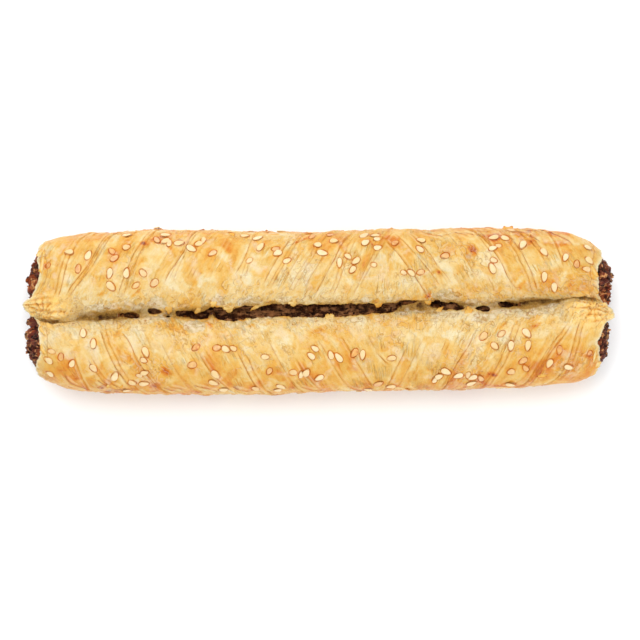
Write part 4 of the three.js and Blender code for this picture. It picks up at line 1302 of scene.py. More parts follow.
def build_crust():
    left, right, seam_lo, seam_hi, inner = sheet_points()
    out, tris, ids = triangulate(left, right, seam_lo, seam_hi, inner)
    x, t = out[:, 0], out[:, 1]
    p, normal, h, masks = displaced(x, t)
    n_out = len(out)
    # inner sheet: the same edges, few points between
    r = np.random.default_rng(12)
    gx, gt = np.meshgrid(np.arange(-91, 91.1, 3.2), np.arange(-S0 + 3, S0 - 2.9, 3.0))
    sparse = np.stack([gx.ravel(), gt.ravel()], 1) + r.uniform(-0.5, 0.5, (gx.size, 2))
    vx, vt = np.meshgrid(np.arange(-84, 84.1, 1.25), np.array([-4.4, -3.2, -2.0, -0.9, 0.2, 1.3, 2.4, 3.6]))
    sparse = np.concatenate([sparse[(np.abs(sparse[:, 1]) > 5.6) | (np.abs(sparse[:, 0]) > 85)], np.stack([vx.ravel(), vt.ravel()], 1)])
    near = hole_distance(sparse[:, 0], sparse[:, 1])
    sparse = sparse[near > 1.2]
    for loop in holes:
        sparse = sparse[~in_loop(sparse, loop)]
    extra = []
    for loop in holes:  # one row round each hole, so that the lip stays thin near it
        tangent = np.roll(loop, -1, 0) - np.roll(loop, 1, 0)
        tangent /= np.linalg.norm(tangent, axis=1, keepdims=True)
        e = (loop + np.stack([tangent[:, 1], -tangent[:, 0]], 1) * 0.9)[::3]
        extra.append(e)
    extra = np.concatenate(extra)
    for loop in holes:
        extra = extra[~in_loop(extra, loop)]
    extra = extra[hole_distance(extra[:, 0], extra[:, 1]) > 0.5]
    out2, tris2, ids2 = triangulate(left, right, seam_lo, seam_hi, np.concatenate([sparse, extra]))
    x2, t2 = out2[:, 0], out2[:, 1]
    base2, normal2 = sheet_point(x2, t2)
    hole2 = hole_distance(x2, t2)
    edge2 = np.where(x2 < 0, x2 + end_x(t2, -1), end_x(t2, 1) - x2)
    h2, _ = crust_relief(x2, t2, base2, False)
    thick = 0.42 + (WALL - 0.42) * smoothstep(0.0, 4.5, hole2)
    thick = np.minimum(thick, 1.0 + 0.5 * smoothstep(0, 5, edge2))
    thick = thick + 1.9 * bell(t2, 4.2) * smoothstep(1.0, 2.6, hole2)  # well under the valley's creases
    p2 = base2 + normal2 * (np.where(hole2 < 1.5, h2, np.minimum(h2, 0.0)) - thick)[:, None]
    p2[:, 0] -= np.sign(x2) * 0.5 * bell(edge2, 0.5)
    p2[:, 2] = np.maximum(p2[:, 2], 0.35)

    verts = [p]
    uv = [np.stack([x, t], 1)]
    kinds = [np.zeros(n_out)]
    depths.append(np.zeros(n_out))
    faces = [tris]
    at = n_out
    start2 = at
    verts.append(p2)
    uv.append(np.stack([x2, t2], 1))
    kinds.append(np.ones(len(out2)) * 2)
    depths.append(np.ones(len(out2)))
    at += len(out2)
    faces.append(tris2[:, ::-1] + start2)

    shut = []  # pairs of points that meet at the seam

    def strip(ring_out, ring_in, closed, levels, uv_way, kind):
        """Rim between the outer and inner sheets, through levels of (share of depth, push)."""
        nonlocal at
        rings = [np.asarray(ring_out)]
        a, b = p[ring_out], p2[ring_in]
        ab = b - a
        for k, (share, push) in enumerate(levels):
            q = a + ab * share + push
            verts.append(q)
            uv.append(np.stack([x[ring_out], t[ring_out]], 1) + uv_way * (share * 1.2))
            kinds.append(np.full(len(q), kind))
            depths.append(np.full(len(q), share))
            rings.append(at + np.arange(len(q)))
            if not closed:
                shut.append((at, at + len(q) - 1))
            at += len(q)
        rings.append(np.asarray(ring_in) + start2)
        for r1, r2 in zip(rings[:-1], rings[1:]):
            n = len(r1)
            i = np.arange(n if closed else n - 1)
            j = (i + 1) % n
            quads = np.stack([r1[i], r1[j], r2[j], r2[i]], 1)
            faces.append(np.concatenate([quads[:, [0, 2, 1]], quads[:, [0, 3, 2]]]))

    # ends: thin baked layers show in the edge
    for g, sx in ((0, -1), (1, 1)):
        ring_out, ring_in = ids[g], ids2[g]
        tt = t[ring_out]
        levels = []
        for k, share in enumerate((0.12, 0.26, 0.4, 0.56, 0.72, 0.88)):
            amp = (0.16, -0.24, 0.1, -0.3, 0.02, -0.35)[k]
            wob = amp + 0.22 * noise1(tt / 1.1 + 7 * k, 110 + k) + 0.12 * noise1(tt / 0.5, 120 + k)
            levels.append((share, np.stack([sx * wob, np.zeros(len(tt)), np.zeros(len(tt))], 1)))
        ro, ri = (ring_out, ring_in) if sx > 0 else (ring_out[::-1], ring_in[::-1])
        lv = levels if sx > 0 else [(s_, q[::-1]) for s_, q in levels]
        strip(ro, ri, False, lv, np.array([sx * 1.0, 0.0]), 1.0)
    for k in range(len(holes)):
        ring_out, ring_in = ids[4 + k], ids2[4 + k]
        c = np.zeros((len(ring_out), 3))
        strip(ring_out[::-1], ring_in[::-1], True, [(0.35, c), (0.7, c)], np.array([0.0, 0.0]), 1.2)

    verts = np.concatenate(verts)
    uv = np.concatenate(uv)
    kinds = np.concatenate(kinds)
    faces = np.concatenate(faces)
    # weld the seam under the roll
    weld = np.arange(len(verts))
    lo = np.concatenate([[ids[0][0]], ids[2], [ids[1][0]]])
    hi = np.concatenate([[ids[0][-1]], ids[3], [ids[1][-1]]])
    weld[hi] = lo
    lo2 = np.concatenate([[ids2[0][0]], ids2[2], [ids2[1][0]]]) + start2
    hi2 = np.concatenate([[ids2[0][-1]], ids2[3], [ids2[1][-1]]]) + start2
    weld[hi2] = lo2
    for a_, b_ in shut:
        weld[b_] = a_
    return verts, faces, uv, kinds, weld, masks, out, out2, start2, ids, hole2


verts, faces, uv, kinds, weld, masks, out, out2, start2, ids, hole2 = build_crust()
n_out = len(out)


def full(values, default):
    """Mask values for all vertices: the outer sheet's own, then the default."""
    a = np.full(len(verts), float(default))
    a[:n_out] = values
    return a


# rims take their masks from the nearest outer point in the unrolled plane
xt = uv.copy()
mask_all = {}
for _k in CRUST_MASKS:
    mask_all[_k] = full(masks[_k], {"line_d": 9, "hole": 3.0, "edge": 0.0, "seed_d": 6, "tone": 0.45}.get(_k, 0.0))
mask_all["hole"][start2 : start2 + len(out2)] = np.clip(hole2, 0, 3)
mask_all["hole"][kinds == 1.2] = 0.0
cut_all = np.where(kinds > 0.5, 1.0, 0.0)
layer_all = np.concatenate(depths)
under_all = smoothstep(44, 52, np.abs(xt[:, 1]))
# weld by renumbering
used, inverse = np.unique(weld, return_inverse=True)
uv_first = uv
# corner UVs keep both sides of the seam, so they are made before welding
corner_uv = uv_first[faces.ravel()]
faces_w = inverse[faces]
verts_w = verts[used]
ok = (faces_w[:, 0] != faces_w[:, 1]) & (faces_w[:, 1] != faces_w[:, 2]) & (faces_w[:, 0] != faces_w[:, 2])
faces_w = faces_w[ok]
corner_kind = kinds[faces[ok].ravel()]
corner_uv = corner_uv.reshape(-1, 3, 2)[ok].reshape(-1, 2)

crust = make_object("crust_sheet", verts_w, faces_w)
for _k in CRUST_MASKS:
    put(crust, _k, mask_all[_k][used])
put(crust, "cut", cut_all[used])
put(crust, "layer", layer_all[used])
put(crust, "under", under_all[used])
put_vector(crust, "sheet", np.stack([along_folds(xt[:, 0], xt[:, 1]), xt[:, 1], np.sign(xt[:, 1]) * 20], 1)[used])
put(crust, "round", xt[used, 1])
# UV: the outer sheet fills the map's width, the inner sheet a small copy above it
_scale = 1 / 206.0
_inner = corner_kind > 1.5
_face_inner = _inner.reshape(-1, 3).all(1).repeat(3)
_uv = np.stack([0.5 + corner_uv[:, 0] * _scale, 0.008 + (corner_uv[:, 1] + S0) * _scale], 1)
_small = 0.36 * _scale
_uv[_face_inner] = np.stack([0.02 + (corner_uv[_face_inner, 0] + 101) * _small, 0.735 + (corner_uv[_face_inner, 1] + S0) * _small], 1)
_layer = crust.data.uv_layers.new(name="OFBake")
if len(_layer.data) == len(_uv):
    _layer.data.foreach_set("uv", _uv.astype(np.float32).ravel())
else:
    print("UV count differs", len(_layer.data), len(_uv))
print("crust", len(verts_w), "verts", len(faces_w), "tris", "S0", round(S0, 2))


# ---------------------------------------------------------------------------------------------------------
# Seeds
def seed_mesh(long, wide, thick, r):
    """Flattened teardrop: nearly flat faces, a soft rim round its outline, one end pointed."""
    nu, nv = 15, 18
    pts = [(-long / 2, 0, 0)]
    info = [(-1.0, 0.0)]
    bend = r.uniform(-0.05, 0.05)
    for i in range(1, nu):
        u = -math.cos(math.pi * i / nu)
        body = max(0, 1 - u * u) ** (0.56 if u < 0 else 0.66) * (1 - 0.36 * u) * 0.98
        for j in range(nv):
            a = 2 * math.pi * j / nv
            c, s = math.cos(a), math.sin(a)
            y = wide / 2 * body * math.copysign(abs(c) ** 0.8, c) * 1.02
            z = thick / 2 * body**0.6 * math.copysign(abs(s) ** 0.7, s)
            z *= 1 - 0.16 * math.exp(-((c) ** 2) * 7) if s > 0 else 0.8
            pts.append((u * long / 2, y + bend * long * (1 - u * u), z))
            info.append((u, abs(c)))
    pts.append((long / 2, bend * 0, 0))
    info.append((1.0, 0.0))
    tris = []
    for j in range(nv):
        tris.append((0, 1 + (j + 1) % nv, 1 + j))
    for i in range(nu - 2):
        for j in range(nv):
            a, b = 1 + i * nv + j, 1 + i * nv + (j + 1) % nv
            c, d = a + nv, b + nv
            tris += [(a, b, d), (a, d, c)]
    last = len(pts) - 1
    for j in range(nv):
        tris.append((last, 1 + (nu - 2) * nv + j, 1 + (nu - 2) * nv + (j + 1) % nv))
    return np.array(pts), np.array(tris), np.array(info)


def build_seeds():
    r = np.random.default_rng(44)
    V, F, tone, brown, along, rim, UV = [], [], [], [], [], [], []
    at = 0
    xs, ts = np.array([s.x for s in seeds]), np.array([s.t for s in seeds])
    p, n, h, _ = displaced(xs, ts, False)
    side = int(math.ceil(math.sqrt(len(seeds))))
    for k, s in enumerate(seeds):
        thick = 0.62 * min(1.0, s.wide / 1.8) * (1 - 0.3 * s.sunk)
        pts, tris, info = seed_mesh(s.long * 1.02, s.wide * 1.0, thick, r)
        nn = n[k] / np.linalg.norm(n[k])
        q, _ = sheet_point([s.x + s.way[0] * 0.3], [s.t + s.way[1] * 0.3])
        b, _ = sheet_point([s.x], [s.t])
        e1 = q[0] - b[0]
        e1 -= nn * (e1 @ nn)
        e1 /= np.linalg.norm(e1)
        e2 = np.cross(nn, e1)
        if r.random() < 0.5:
            e1, e2 = -e1, -e2
        # lean a little
        nn2 = nn + e1 * s.lean[0] + e2 * s.lean[1]
        nn2 /= np.linalg.norm(nn2)
        e1 = e1 - nn2 * (e1 @ nn2)
        e1 /= np.linalg.norm(e1)
        e2 = np.cross(nn2, e1)
        sink = 0.1 + 0.26 * s.sunk
        c = p[k] + nn * (thick / 2 - sink)
        w = c + pts[:, :1] * e1 + pts[:, 1:2] * e2 + pts[:, 2:] * nn2
        V.append(w)
        F.append(tris + at)
        at += len(pts)
        tone.append(np.full(len(pts), s.tone))
        brown.append(np.full(len(pts), s.brown))
        along.append(info[:, 0])
        rim.append(info[:, 1])
        # each seed's two faces lie side by side in its own square of the map
        cx, cy = (k % side) / side, (k // side) / side
        cell = 1 / side
        top = pts[:, 2] >= 0
        uu = cx + cell * (0.03 + 0.94 * (pts[:, 0] / s.long / 1.08 + 0.5))
        vv = cy + cell * (np.where(top, 0.26, 0.74) + 0.42 * pts[:, 1] / s.wide / 1.5)
        UV.append(np.stack([uu, vv], 1))
    o = make_object("sesame_seeds", np.concatenate(V), np.concatenate(F))
    put(o, "tone", np.concatenate(tone))
    put(o, "brown", np.concatenate(brown))
    put(o, "along", np.concatenate(along))
    put(o, "rim", np.concatenate(rim))
    put_uv(o, np.concatenate(UV))
    print("seeds", len(seeds), "tris", len(o.data.polygons))
    return o


seeds_obj = build_seeds()


# ---------------------------------------------------------------------------------------------------------
# Loose flakes: curled flaps along the crack and the ends, and the soaked layer that shows under the torn lips
class Pile:
    """Points, triangles and their values, gathered piece by piece."""

    def __init__(self, names):
        self.v, self.f, self.uv, self.at = [], [], [], 0
        self.m = {k: [] for k in names}

    def add(self, pts, tris, uv=None, **values):
        self.v.append(pts)
        self.f.append(np.asarray(tris) + self.at)
        self.at += len(pts)
        for k in self.m:
            self.m[k].append(np.broadcast_to(np.asarray(values[k], float), (len(pts),)))
        if uv is not None:
            self.uv.append(uv)

    def build(self, name):
        o = make_object(name, np.concatenate(self.v), np.concatenate(self.f))
        for k in self.m:
            put(o, k, np.concatenate(self.m[k]))
        if self.uv:
            put_uv(o, np.concatenate(self.uv))
        return o


def closed_grid(top, bottom):
    """Triangles of a thin sheet between two grids of points, closed all round."""
    nu, nv = top.shape[:2]
    a = np.arange(nu * nv).reshape(nu, nv)
    b = a + nu * nv
    quads = [
        np.stack([a[:-1, :-1], a[1:, :-1], a[1:, 1:], a[:-1, 1:]], -1).reshape(-1, 4),
        np.stack([b[:-1, :-1], b[:-1, 1:], b[1:, 1:], b[1:, :-1]], -1).reshape(-1, 4),
        np.stack([a[:-1, 0], b[:-1, 0], b[1:, 0], a[1:, 0]], -1),
        np.stack([a[:-1, -1], a[1:, -1], b[1:, -1], b[:-1, -1]], -1),
        np.stack([a[0, :-1], a[0, 1:], b[0, 1:], b[0, :-1]], -1),
        np.stack([a[-1, :-1], b[-1, :-1], b[-1, 1:], a[-1, 1:]], -1),
    ]
    q = np.concatenate(quads)
    return np.concatenate([top.reshape(-1, 3), bottom.reshape(-1, 3)]), np.concatenate([q[:, [0, 1, 2]], q[:, [0, 2, 3]]])


# measured flaps: root and tip as pixels, width in pixels, lift of the tip in millimetres, tone
FLAPS = [
    ((168.5, 305.5), (169, 314.5), 7, 0.2, 0.24), ((200, 308), (194.5, 313.8), 5, 0.0, 0.22), ((213.4, 301), (212.6, 307), 6, 0.1, 0.16),
    ((228, 306.5), (229, 312.8), 9, 0.0, 0.14), ((258, 305.5), (250, 310.5), 4.4, 0.1, 0.18), ((427.5, 301), (429.5, 305), 6, 0.0, 0.26),
    ((378, 303), (380, 307), 7, 0.0, 0.3), ((292, 300.5), (295, 306), 8, -0.1, 0.12), ((330, 318.5), (327, 314), 9, -0.1, 0.1),
    ((44, 262.5), (41, 263), 24, 0.1, 0.02), ((41.5, 254), (36.8, 255), 7, 0.2, 0.05), ((112, 381), (107.5, 386.6), 5, 0.4, 0.1),
    ((44, 331), (39.8, 331), 12, 0.15, 0.12), ((44.5, 349), (40.4, 349.5), 11, 0.2, 0.15),
]


def build_flakes():
    pile = Pile(["tone", "rim", "wet"])
    r = np.random.default_rng(66)
    jobs = []
    for root, tip, w, lift, tone in FLAPS:
        a, b = from_photo(*root), from_photo(*tip)
        jobs.append((a, b, w * PX * 1.1, lift, tone + 0.1))
        if root[0] < 207:
            jobs.append((-a, -b, w * PX * 1.1, lift, tone + 0.1))
    # a few lifted scales of the outer layer elsewhere
    for _ in range(10):
        x, t = r.uniform(-88, 88), r.choice([-1, 1]) * r.uniform(24, 46)
        ang = r.uniform(-0.5, 0.5) + math.atan2(1.9 * np.sign(t), 1 if x < 27 else -1)
        ln = r.uniform(1.2, 2.6)
        root = np.array([x, t])
        jobs.append((root, root + ln * np.array([math.cos(ang), math.sin(ang)]), r.uniform(1.5, 4.5), r.uniform(0.1, 0.24), r.uniform(0.3, 0.5)))
    roots = np.array([j[0] for j in jobs])
    base, _ = sheet_point(roots[:, 0], roots[:, 1])
    h_root, _ = crust_relief(roots[:, 0], roots[:, 1], base, False)
    side_n = int(math.ceil(math.sqrt(len(jobs) / 0.72)))
    for k, (root, tip, width, lift, tone) in enumerate(jobs):
        run = tip - root
        ln = float(np.linalg.norm(run))
        d = run / ln
        nu, nv = max(7, int(ln / 0.22) + 1), max(8, int(width / 0.24) + 1)
        u, v = np.meshgrid(np.linspace(0, 1, nu), np.linspace(-1, 1, nv), indexing="ij")
        su, sv = u.ravel(), v.ravel()
        tip_cut = 1 - 0.4 * np.clip(noise1(sv * 1.6 + k * 3.1, 801), 0, 1) - 0.26 * sv**2
        along = su * tip_cut * ln
        half = width / 2 * (1.05 - 0.3 * su) * (1 + 0.22 * noise1(su * 2.3 + k * 5.7, 802)) * (1 - 0.22 * su**3)
        wig = 0.16 * noise1(su * 3 + k * 1.7, 803) * width
        x = root[0] + d[0] * along - d[1] * (sv * half + wig)
        t = root[1] + d[1] * along + d[0] * (sv * half + wig)
        p0, n0 = sheet_point(x, t)
        curl = r.uniform(-0.5, 0.9)
        h = h_root[k] - 0.12 + 0.3 * np.minimum(su * 3, 1) + lift * su**1.3 + curl * 0.12 * width * sv**2 * su + 0.08 * noise1(sv * 3 + su * 2 + k, 804)
        thick = (0.17 * (1 - 0.5 * su) * (1 - 0.4 * sv**2) + 0.04)[:, None]
        top = p0 + n0 * h[:, None]
        bot = top - n0 * thick
        pts, tris = closed_grid(top.reshape(nu, nv, 3), bot.reshape(nu, nv, 3))
        rim = np.minimum(1 - np.abs(sv), 1 - su) * min(width, ln)
        tones = tone + 0.1 * noise1(su * 3 + sv * 2 + k, 805) + 0.1 * su
        cx, cy = (k % side_n) / side_n, 0.27 + (k // side_n) / side_n
        cell = 1 / side_n
        uv = np.stack([cx + cell * (0.06 + 0.4 * su), cy + cell * (0.1 + 0.8 * (sv + 1) / 2)], 1)
        uv = np.concatenate([uv, uv + [cell * 0.46, 0]])
        pile.add(pts, tris, uv, tone=np.tile(tones, 2), rim=np.tile(rim, 2), wet=0.0)
    # soaked layer: a ragged ring just under the lip of each hole
    for k, loop in enumerate(holes):
        if k in (1, 2, 6):  # too small for it
            continue
        n = len(loop)
        tangent = np.roll(loop, -1, 0) - np.roll(loop, 1, 0)
        tangent /= np.maximum(np.linalg.norm(tangent, axis=1, keepdims=True), 1e-6)
        for _ in range(4):
            tangent = 0.25 * np.roll(tangent, 1, 0) + 0.5 * tangent + 0.25 * np.roll(tangent, -1, 0)
        tangent /= np.maximum(np.linalg.norm(tangent, axis=1, keepdims=True), 1e-6)
        inward = np.stack([-tangent[:, 1], tangent[:, 0]], 1)
        gap = np.zeros(n)
        for i in range(n):
            far = loop[np.abs(loop[:, 0] - loop[i, 0]) < 0.7]
            gap[i] = far[:, 1].max() - far[:, 1].min()
        run = np.concatenate([[0], np.cumsum(np.hypot(*(np.roll(loop, -1, 0) - loop).T))])[:-1]
        fade = smoothstep(0, 1.5, np.minimum(run, run.max() - run))
        reach = np.clip(0.45 + 0.75 * noise1(run / 1.6, 820 + k) + 0.35 * noise1(run / 0.6, 830 + k), -0.3, 1.3) * fade
        reach = np.minimum(reach, 0.34 * gap)
        rows = []
        for share, deep in ((-1.0, 0.62), (-0.35, 0.7), (0.0, 0.78), (0.55, 0.95), (1.0, 1.2)):
            off = share * 1.5 if share < 0 else share * reach
            q = loop + inward * (off * 1.0)[:, None] if np.ndim(off) else loop + inward * off
            for _ in range(2 if share < 0 else 0):
                q = 0.25 * np.roll(q, 1, 0) + 0.5 * q + 0.25 * np.roll(q, -1, 0)
            p0, n0 = sheet_point(q[:, 0], q[:, 1])
            rows.append(p0 - n0 * (deep + 0.16 * noise1(run / 1.1 + 9 * share, 840 + k))[:, None])
        top = np.array(rows)
        _, n0 = sheet_point(loop[:, 0], loop[:, 1])
        bot = top - n0[None] * 0.16
        m = len(rows)
        a = np.arange(m * n).reshape(m, n)
        b = a + m * n
        nx = np.roll(np.arange(n), -1)
        quads = [
            np.stack([a[:-1], a[1:], a[1:][:, nx], a[:-1][:, nx]], -1).reshape(-1, 4)[:, ::-1],
            np.stack([b[:-1], b[1:], b[1:][:, nx], b[:-1][:, nx]], -1).reshape(-1, 4),
            np.stack([a[0], a[0][nx], b[0][nx], b[0]], -1)[:, ::-1],
            np.stack([a[-1], a[-1][nx], b[-1][nx], b[-1]], -1),
        ]
        q4 = np.concatenate(quads)
        pts = np.concatenate([top.reshape(-1, 3), bot.reshape(-1, 3)])
        tris = np.concatenate([q4[:, [0, 1, 2]], q4[:, [0, 2, 3]]])
        uu = run / max(run[-1], 1) * 0.96 + 0.02
        band = 0.25 / len(holes)
        uv = np.concatenate([np.stack([uu, np.full(n, band * (k + 0.1 + 0.08 * j))], 1) for j in range(m)] + [np.stack([uu, np.full(n, band * (k + 0.55 + 0.08 * j))], 1) for j in range(m)])
        rim = np.tile(np.repeat([1.0, 1.0, 0.8, 0.4, 0.0], n), 2)
        wet = np.tile(0.95 + 0.1 * noise1(run / 2.2, 850 + k), 2 * m)
        pile.add(pts, tris, uv, tone=np.tile(0.8 + 0.2 * noise1(run / 1.4, 860 + k), 2 * m), rim=rim, wet=wet)
    o = pile.build("crust_flakes")
    print("flakes", len(jobs), "tris", len(o.data.polygons))
    return o


flakes = build_flakes()


# ---------------------------------------------------------------------------------------------------------
# Filling: a core that follows the crust inside, rough with mince in the crack and at both ends
def ico(level):
    g = (1 + 5**0.5) / 2
    v = np.array([(-1, g, 0), (1, g, 0), (-1, -g, 0), (1, -g, 0), (0, -1, g), (0, 1, g), (0, -1, -g), (0, 1, -g), (g, 0, -1), (g, 0, 1), (-g, 0, -1), (-g, 0, 1)])
    f = [(0, 11, 5), (0, 5, 1), (0, 1, 7), (0, 7, 10), (0, 10, 11), (1, 5, 9), (5, 11, 4), (11, 10, 2), (10, 7, 6), (7, 1, 8), (3, 9, 4), (3, 4, 2), (3, 2, 6), (3, 6, 8), (3, 8, 9), (4, 9, 5), (2, 4, 11), (6, 2, 10), (8, 6, 7), (9, 8, 1)]
    v = [tuple(q / np.linalg.norm(q)) for q in v]
    for _ in range(level):
        mids, out_f = {}, []

        def mid(a, b):
            key = (min(a, b), max(a, b))
            if key not in mids:
                q = np.array(v[a]) + np.array(v[b])
                v.append(tuple(q / np.linalg.norm(q)))
                mids[key] = len(v) - 1
            return mids[key]

        for a, b, c in f:
            ab, bc, ca = mid(a, b), mid(b, c), mid(c, a)
            out_f += [(a, ab, ca), (b, bc, ab), (c, ca, bc), (ab, bc, ca)]
        f = out_f
    return np.array(v), np.array(f)


def build_filling():
    V, F = [], []
    # body: an unrolled sheet, fine only under the crack
    r = np.random.default_rng(3)
    L = 94.2
    t, k = -S0, 0
    ring_t = []
    while t < S0 - 1e-6:
        ring_t.append(t)
        a = abs(t)
        t += float(np.interp(a, [0, 40, 60, S0], [0.42, 0.5, 0.9, 1.2]))
    ring_t = np.array(ring_t + [S0])
    ring_t = -S0 + (ring_t + S0) * (2 * S0 / (ring_t[-1] + S0))
    left = np.stack([np.full(len(ring_t), -L), ring_t], 1)
    right = np.stack([np.full(len(ring_t), L), ring_t], 1)
    seam_x = np.linspace(-L, L, 50)[1:-1]
    lo = np.stack([seam_x, np.full(len(seam_x), -S0)], 1)
    hi = np.stack([seam_x, np.full(len(seam_x), S0)], 1)
    fine = []
    t = -7.5
    while t < 7.5:
        xs = np.arange(-82, 82, 0.42) + (0.21 if k % 2 else 0)
        fine.append(np.stack([xs, np.full(len(xs), t)], 1) + r.uniform(-0.06, 0.06, (len(xs), 2)))
        t += 0.4
        k += 1
    fine = np.concatenate(fine)
    near = np.zeros(len(fine), bool)
    d = np.full(len(fine), 9.0)
    for loop in holes:
        near |= in_loop(fine, loop)
        d = np.minimum(d, loop_distance(fine, loop, 3.0))
    fine = fine[near | (d < 2.2)]
    gx, gt = np.meshgrid(np.arange(-L + 3, L - 2, 3.0), np.concatenate([np.arange(-S0 + 3, -8.5, 3.0), [0], np.arange(9, S0 - 2, 3.0)]))
    coarse = np.stack([gx.ravel(), gt.ravel()], 1)
    coarse = coarse[(np.abs(coarse[:, 1]) > 8) | (np.abs(coarse[:, 0]) > 84)]
    pts = np.concatenate([left, right, lo, hi, fine, coarse])
    edges = []
    n0, n1 = len(left), len(right)
    edges += [(i, i + 1) for i in range(n0 - 1)] + [(n0 + i, n0 + i + 1) for i in range(n1 - 1)]
    s2, s3 = n0 + n1, n0 + n1 + len(lo)
    for s_, a_, b_ in ((s2, 0, n0), (s3, n0 - 1, n0 + n1 - 1)):
        chain = [a_] + [s_ + i for i in range(len(lo))] + [b_]
        edges += list(zip(chain[:-1], chain[1:]))
    res = delaunay_2d_cdt([Vector(q) for q in pts], edges, [], 0, 1e-7)
    q = np.array([v[:] for v in res[0]])
    tris = np.array([f for f in res[2] if len(f) == 3])
    where = np.full(len(pts), -1)
    for i, src in enumerate(res[3]):
        for s_ in src:
            where[s_] = i
    a, b, c = q[tris[:, 0]], q[tris[:, 1]], q[tris[:, 2]]
    area = (b[:, 0] - a[:, 0]) * (c[:, 1] - a[:, 1]) - (b[:, 1] - a[:, 1]) * (c[:, 0] - a[:, 0])
    tris, area = tris[np.abs(area) > 1e-9], area[np.abs(area) > 1e-9]
    tris[area < 0] = tris[area < 0][:, ::-1]
    base, normal = sheet_point(q[:, 0], q[:, 1])
    inset = 2.2 + 0.5 * bell(q[:, 1], 5.0) * smoothstep(86, 80, np.abs(q[:, 0]))
    away = hole_distance(q[:, 0], q[:, 1], 4.0)
    for loop in holes:
        away = np.where(in_loop(q, loop), 0.0, away)
    rough = smoothstep(1.9, 0.7, away)
    inset = inset + 1.5 * bell(q[:, 1], 5.0) * (1 - rough)
    p = base - normal * inset[:, None]
    bent = p + np.stack([noise3(p / 1.9, 24), noise3(p / 1.9, 25), noise3(p / 1.9, 26)], 1) * 1.1
    bent = bent * [0.42, 1.0, 1.0]  # shreds that lie along the crack
    d1, d2, who = cells(bent, 2.4, 7)
    e1, e2, who2 = cells(bent, 1.0, 17)
    shred = 1 - 2.2 * np.abs(noise3(bent * [0.42, 0.85, 0.85], 27))
    shred2 = 1 - 2.2 * np.abs(noise3(bent * [0.9, 1.7, 1.7], 28))
    bump = 0.5 + 0.5 * shred + 0.3 * shred2 + 0.45 * noise3(p / 3.4, 19)
    p = p + normal * ((bump - 0.75) * rough)[:, None]
    # in the V of the valley the mince stands up like a low heap
    p[:, 2] += rough * 0.7 * bell(q[:, 1], 2.2)
    p[:, 2] = np.maximum(p[:, 2], 1.7)
    V.append(p)
    cell_id = [0.7 * who + 0.3 * who2]
    # low in the dips and gaps between lumps, where the material paints shade
    shade = [np.where(rough > 0.3, np.clip(0.45 + 0.45 * shred + 0.3 * shred2, 0, 1), 0.5)]
    F.append(tris)
    at = len(p)
    # ends
    for sx, ring in ((-1, where[:n0]), (1, where[n0 : n0 + n1])):
        rim = p[ring]
        yz = rim[:-1, 1:]  # the seam's two points are one
        cen = yz.mean(0)
        lo_, hi_ = yz.min(0), yz.max(0)
        sp = 0.31
        gy, gz = np.meshgrid(np.arange(lo_[0], hi_[0], sp), np.arange(lo_[1], hi_[1], sp * 0.866))
        gy = gy + (np.arange(gy.shape[0]) % 2)[:, None] * sp / 2
        g = np.stack([gy.ravel(), gz.ravel()], 1) + r.uniform(-0.05, 0.05, (gy.size, 2))
        g = g[in_loop(g, yz)]
        g = g[loop_distance(g, yz, 2.0) > 0.2]
        pts = np.concatenate([yz, g])
        n = len(yz)
        res = delaunay_2d_cdt([Vector(v) for v in pts], [(i, (i + 1) % n) for i in range(n)], [], 0, 1e-7)
        w = np.array([v[:] for v in res[0]])
        tr = np.array([f for f in res[2] if len(f) == 3])
        tr = tr[in_loop(w[tr].mean(1), yz)]
        a, b, c = w[tr[:, 0]], w[tr[:, 1]], w[tr[:, 2]]
        ar = (b[:, 0] - a[:, 0]) * (c[:, 1] - a[:, 1]) - (b[:, 1] - a[:, 1]) * (c[:, 0] - a[:, 0])
        tr, ar = tr[np.abs(ar) > 1e-9], ar[np.abs(ar) > 1e-9]
        tr[ar < 0] = tr[ar < 0][:, ::-1]
        if sx < 0:
            tr = tr[:, ::-1]
        back = np.full(len(pts), -1)
        for i, src in enumerate(res[3]):
            for s_ in src:
                back[s_] = i
        dist = loop_distance(w, yz, 12.0)
        yy, zz = w[:, 0] * -sx, w[:, 1]  # as on the left end
        # how far the mince stands out of each lobe, from the outline seen from above
        reach = np.interp(yy, [-22, -19, -16.2, -13.5, -11.8, -6, -2, 1.5, 4, 6.8, 11.9, 16.3, 20, 23], [1.6, 3.6, 4.8, 5.2, 5.4, 5.9, 6.0, 4.4, 4.4, 4.4, 4.2, 3.6, 2.7, 1.0])
        dome = 1 - np.exp(-dist / 1.5)
        lift = 0.55 + 0.45 * bell(zz - 13, 9)
        P = np.stack([np.full(len(w), sx * L), w[:, 0], w[:, 1]], 1)
        wob = np.stack([np.zeros(len(w)), w[:, 0], w[:, 1]], 1) + [31 * sx, 0, 0]
        bent = wob + np.stack([noise3(wob / 2.0, 34), noise3(wob / 2.0, 35), noise3(wob / 2.0, 36)], 1) * 1.0
        d1, d2, who = cells(bent, 3.3, 27)
        e1, e2, who2 = cells(bent, 1.4, 37)
        bump = smoothstep(0, 1, (d2 - d1) / 1.1) * (0.75 + 0.8 * who) + 0.55 * smoothstep(0, 1, (e2 - e1) / 0.5) * (0.35 + who2)
        bump += 0.5 * noise3(wob / 5.0, 29) + 0.2 * noise3(wob / 1.1, 30)
        out_x = reach * dome * lift + (bump - 1.9) * np.clip(dist / 0.8, 0, 1)
        top = 100.6 - L
        out_x = top - 0.45 * np.log1p(np.exp((top - out_x) / 0.45))
        P[:, 0] = sx * (L + out_x)
        ids_ = np.arange(len(w)) + at
        ring_ids = np.asarray(ring[:-1])
        ids_[back[:n]] = ring_ids
        V.append(P)
        F.append(ids_[tr])
        cell_id.append(0.7 * who + 0.3 * who2)
        # painted shade in the gaps between the end's lumps
        shade.append(np.clip((d2 - d1) / 0.5, 0, 1) * (0.55 + 0.45 * np.clip((e2 - e1) / 0.3, 0, 1)))
        at += len(P)
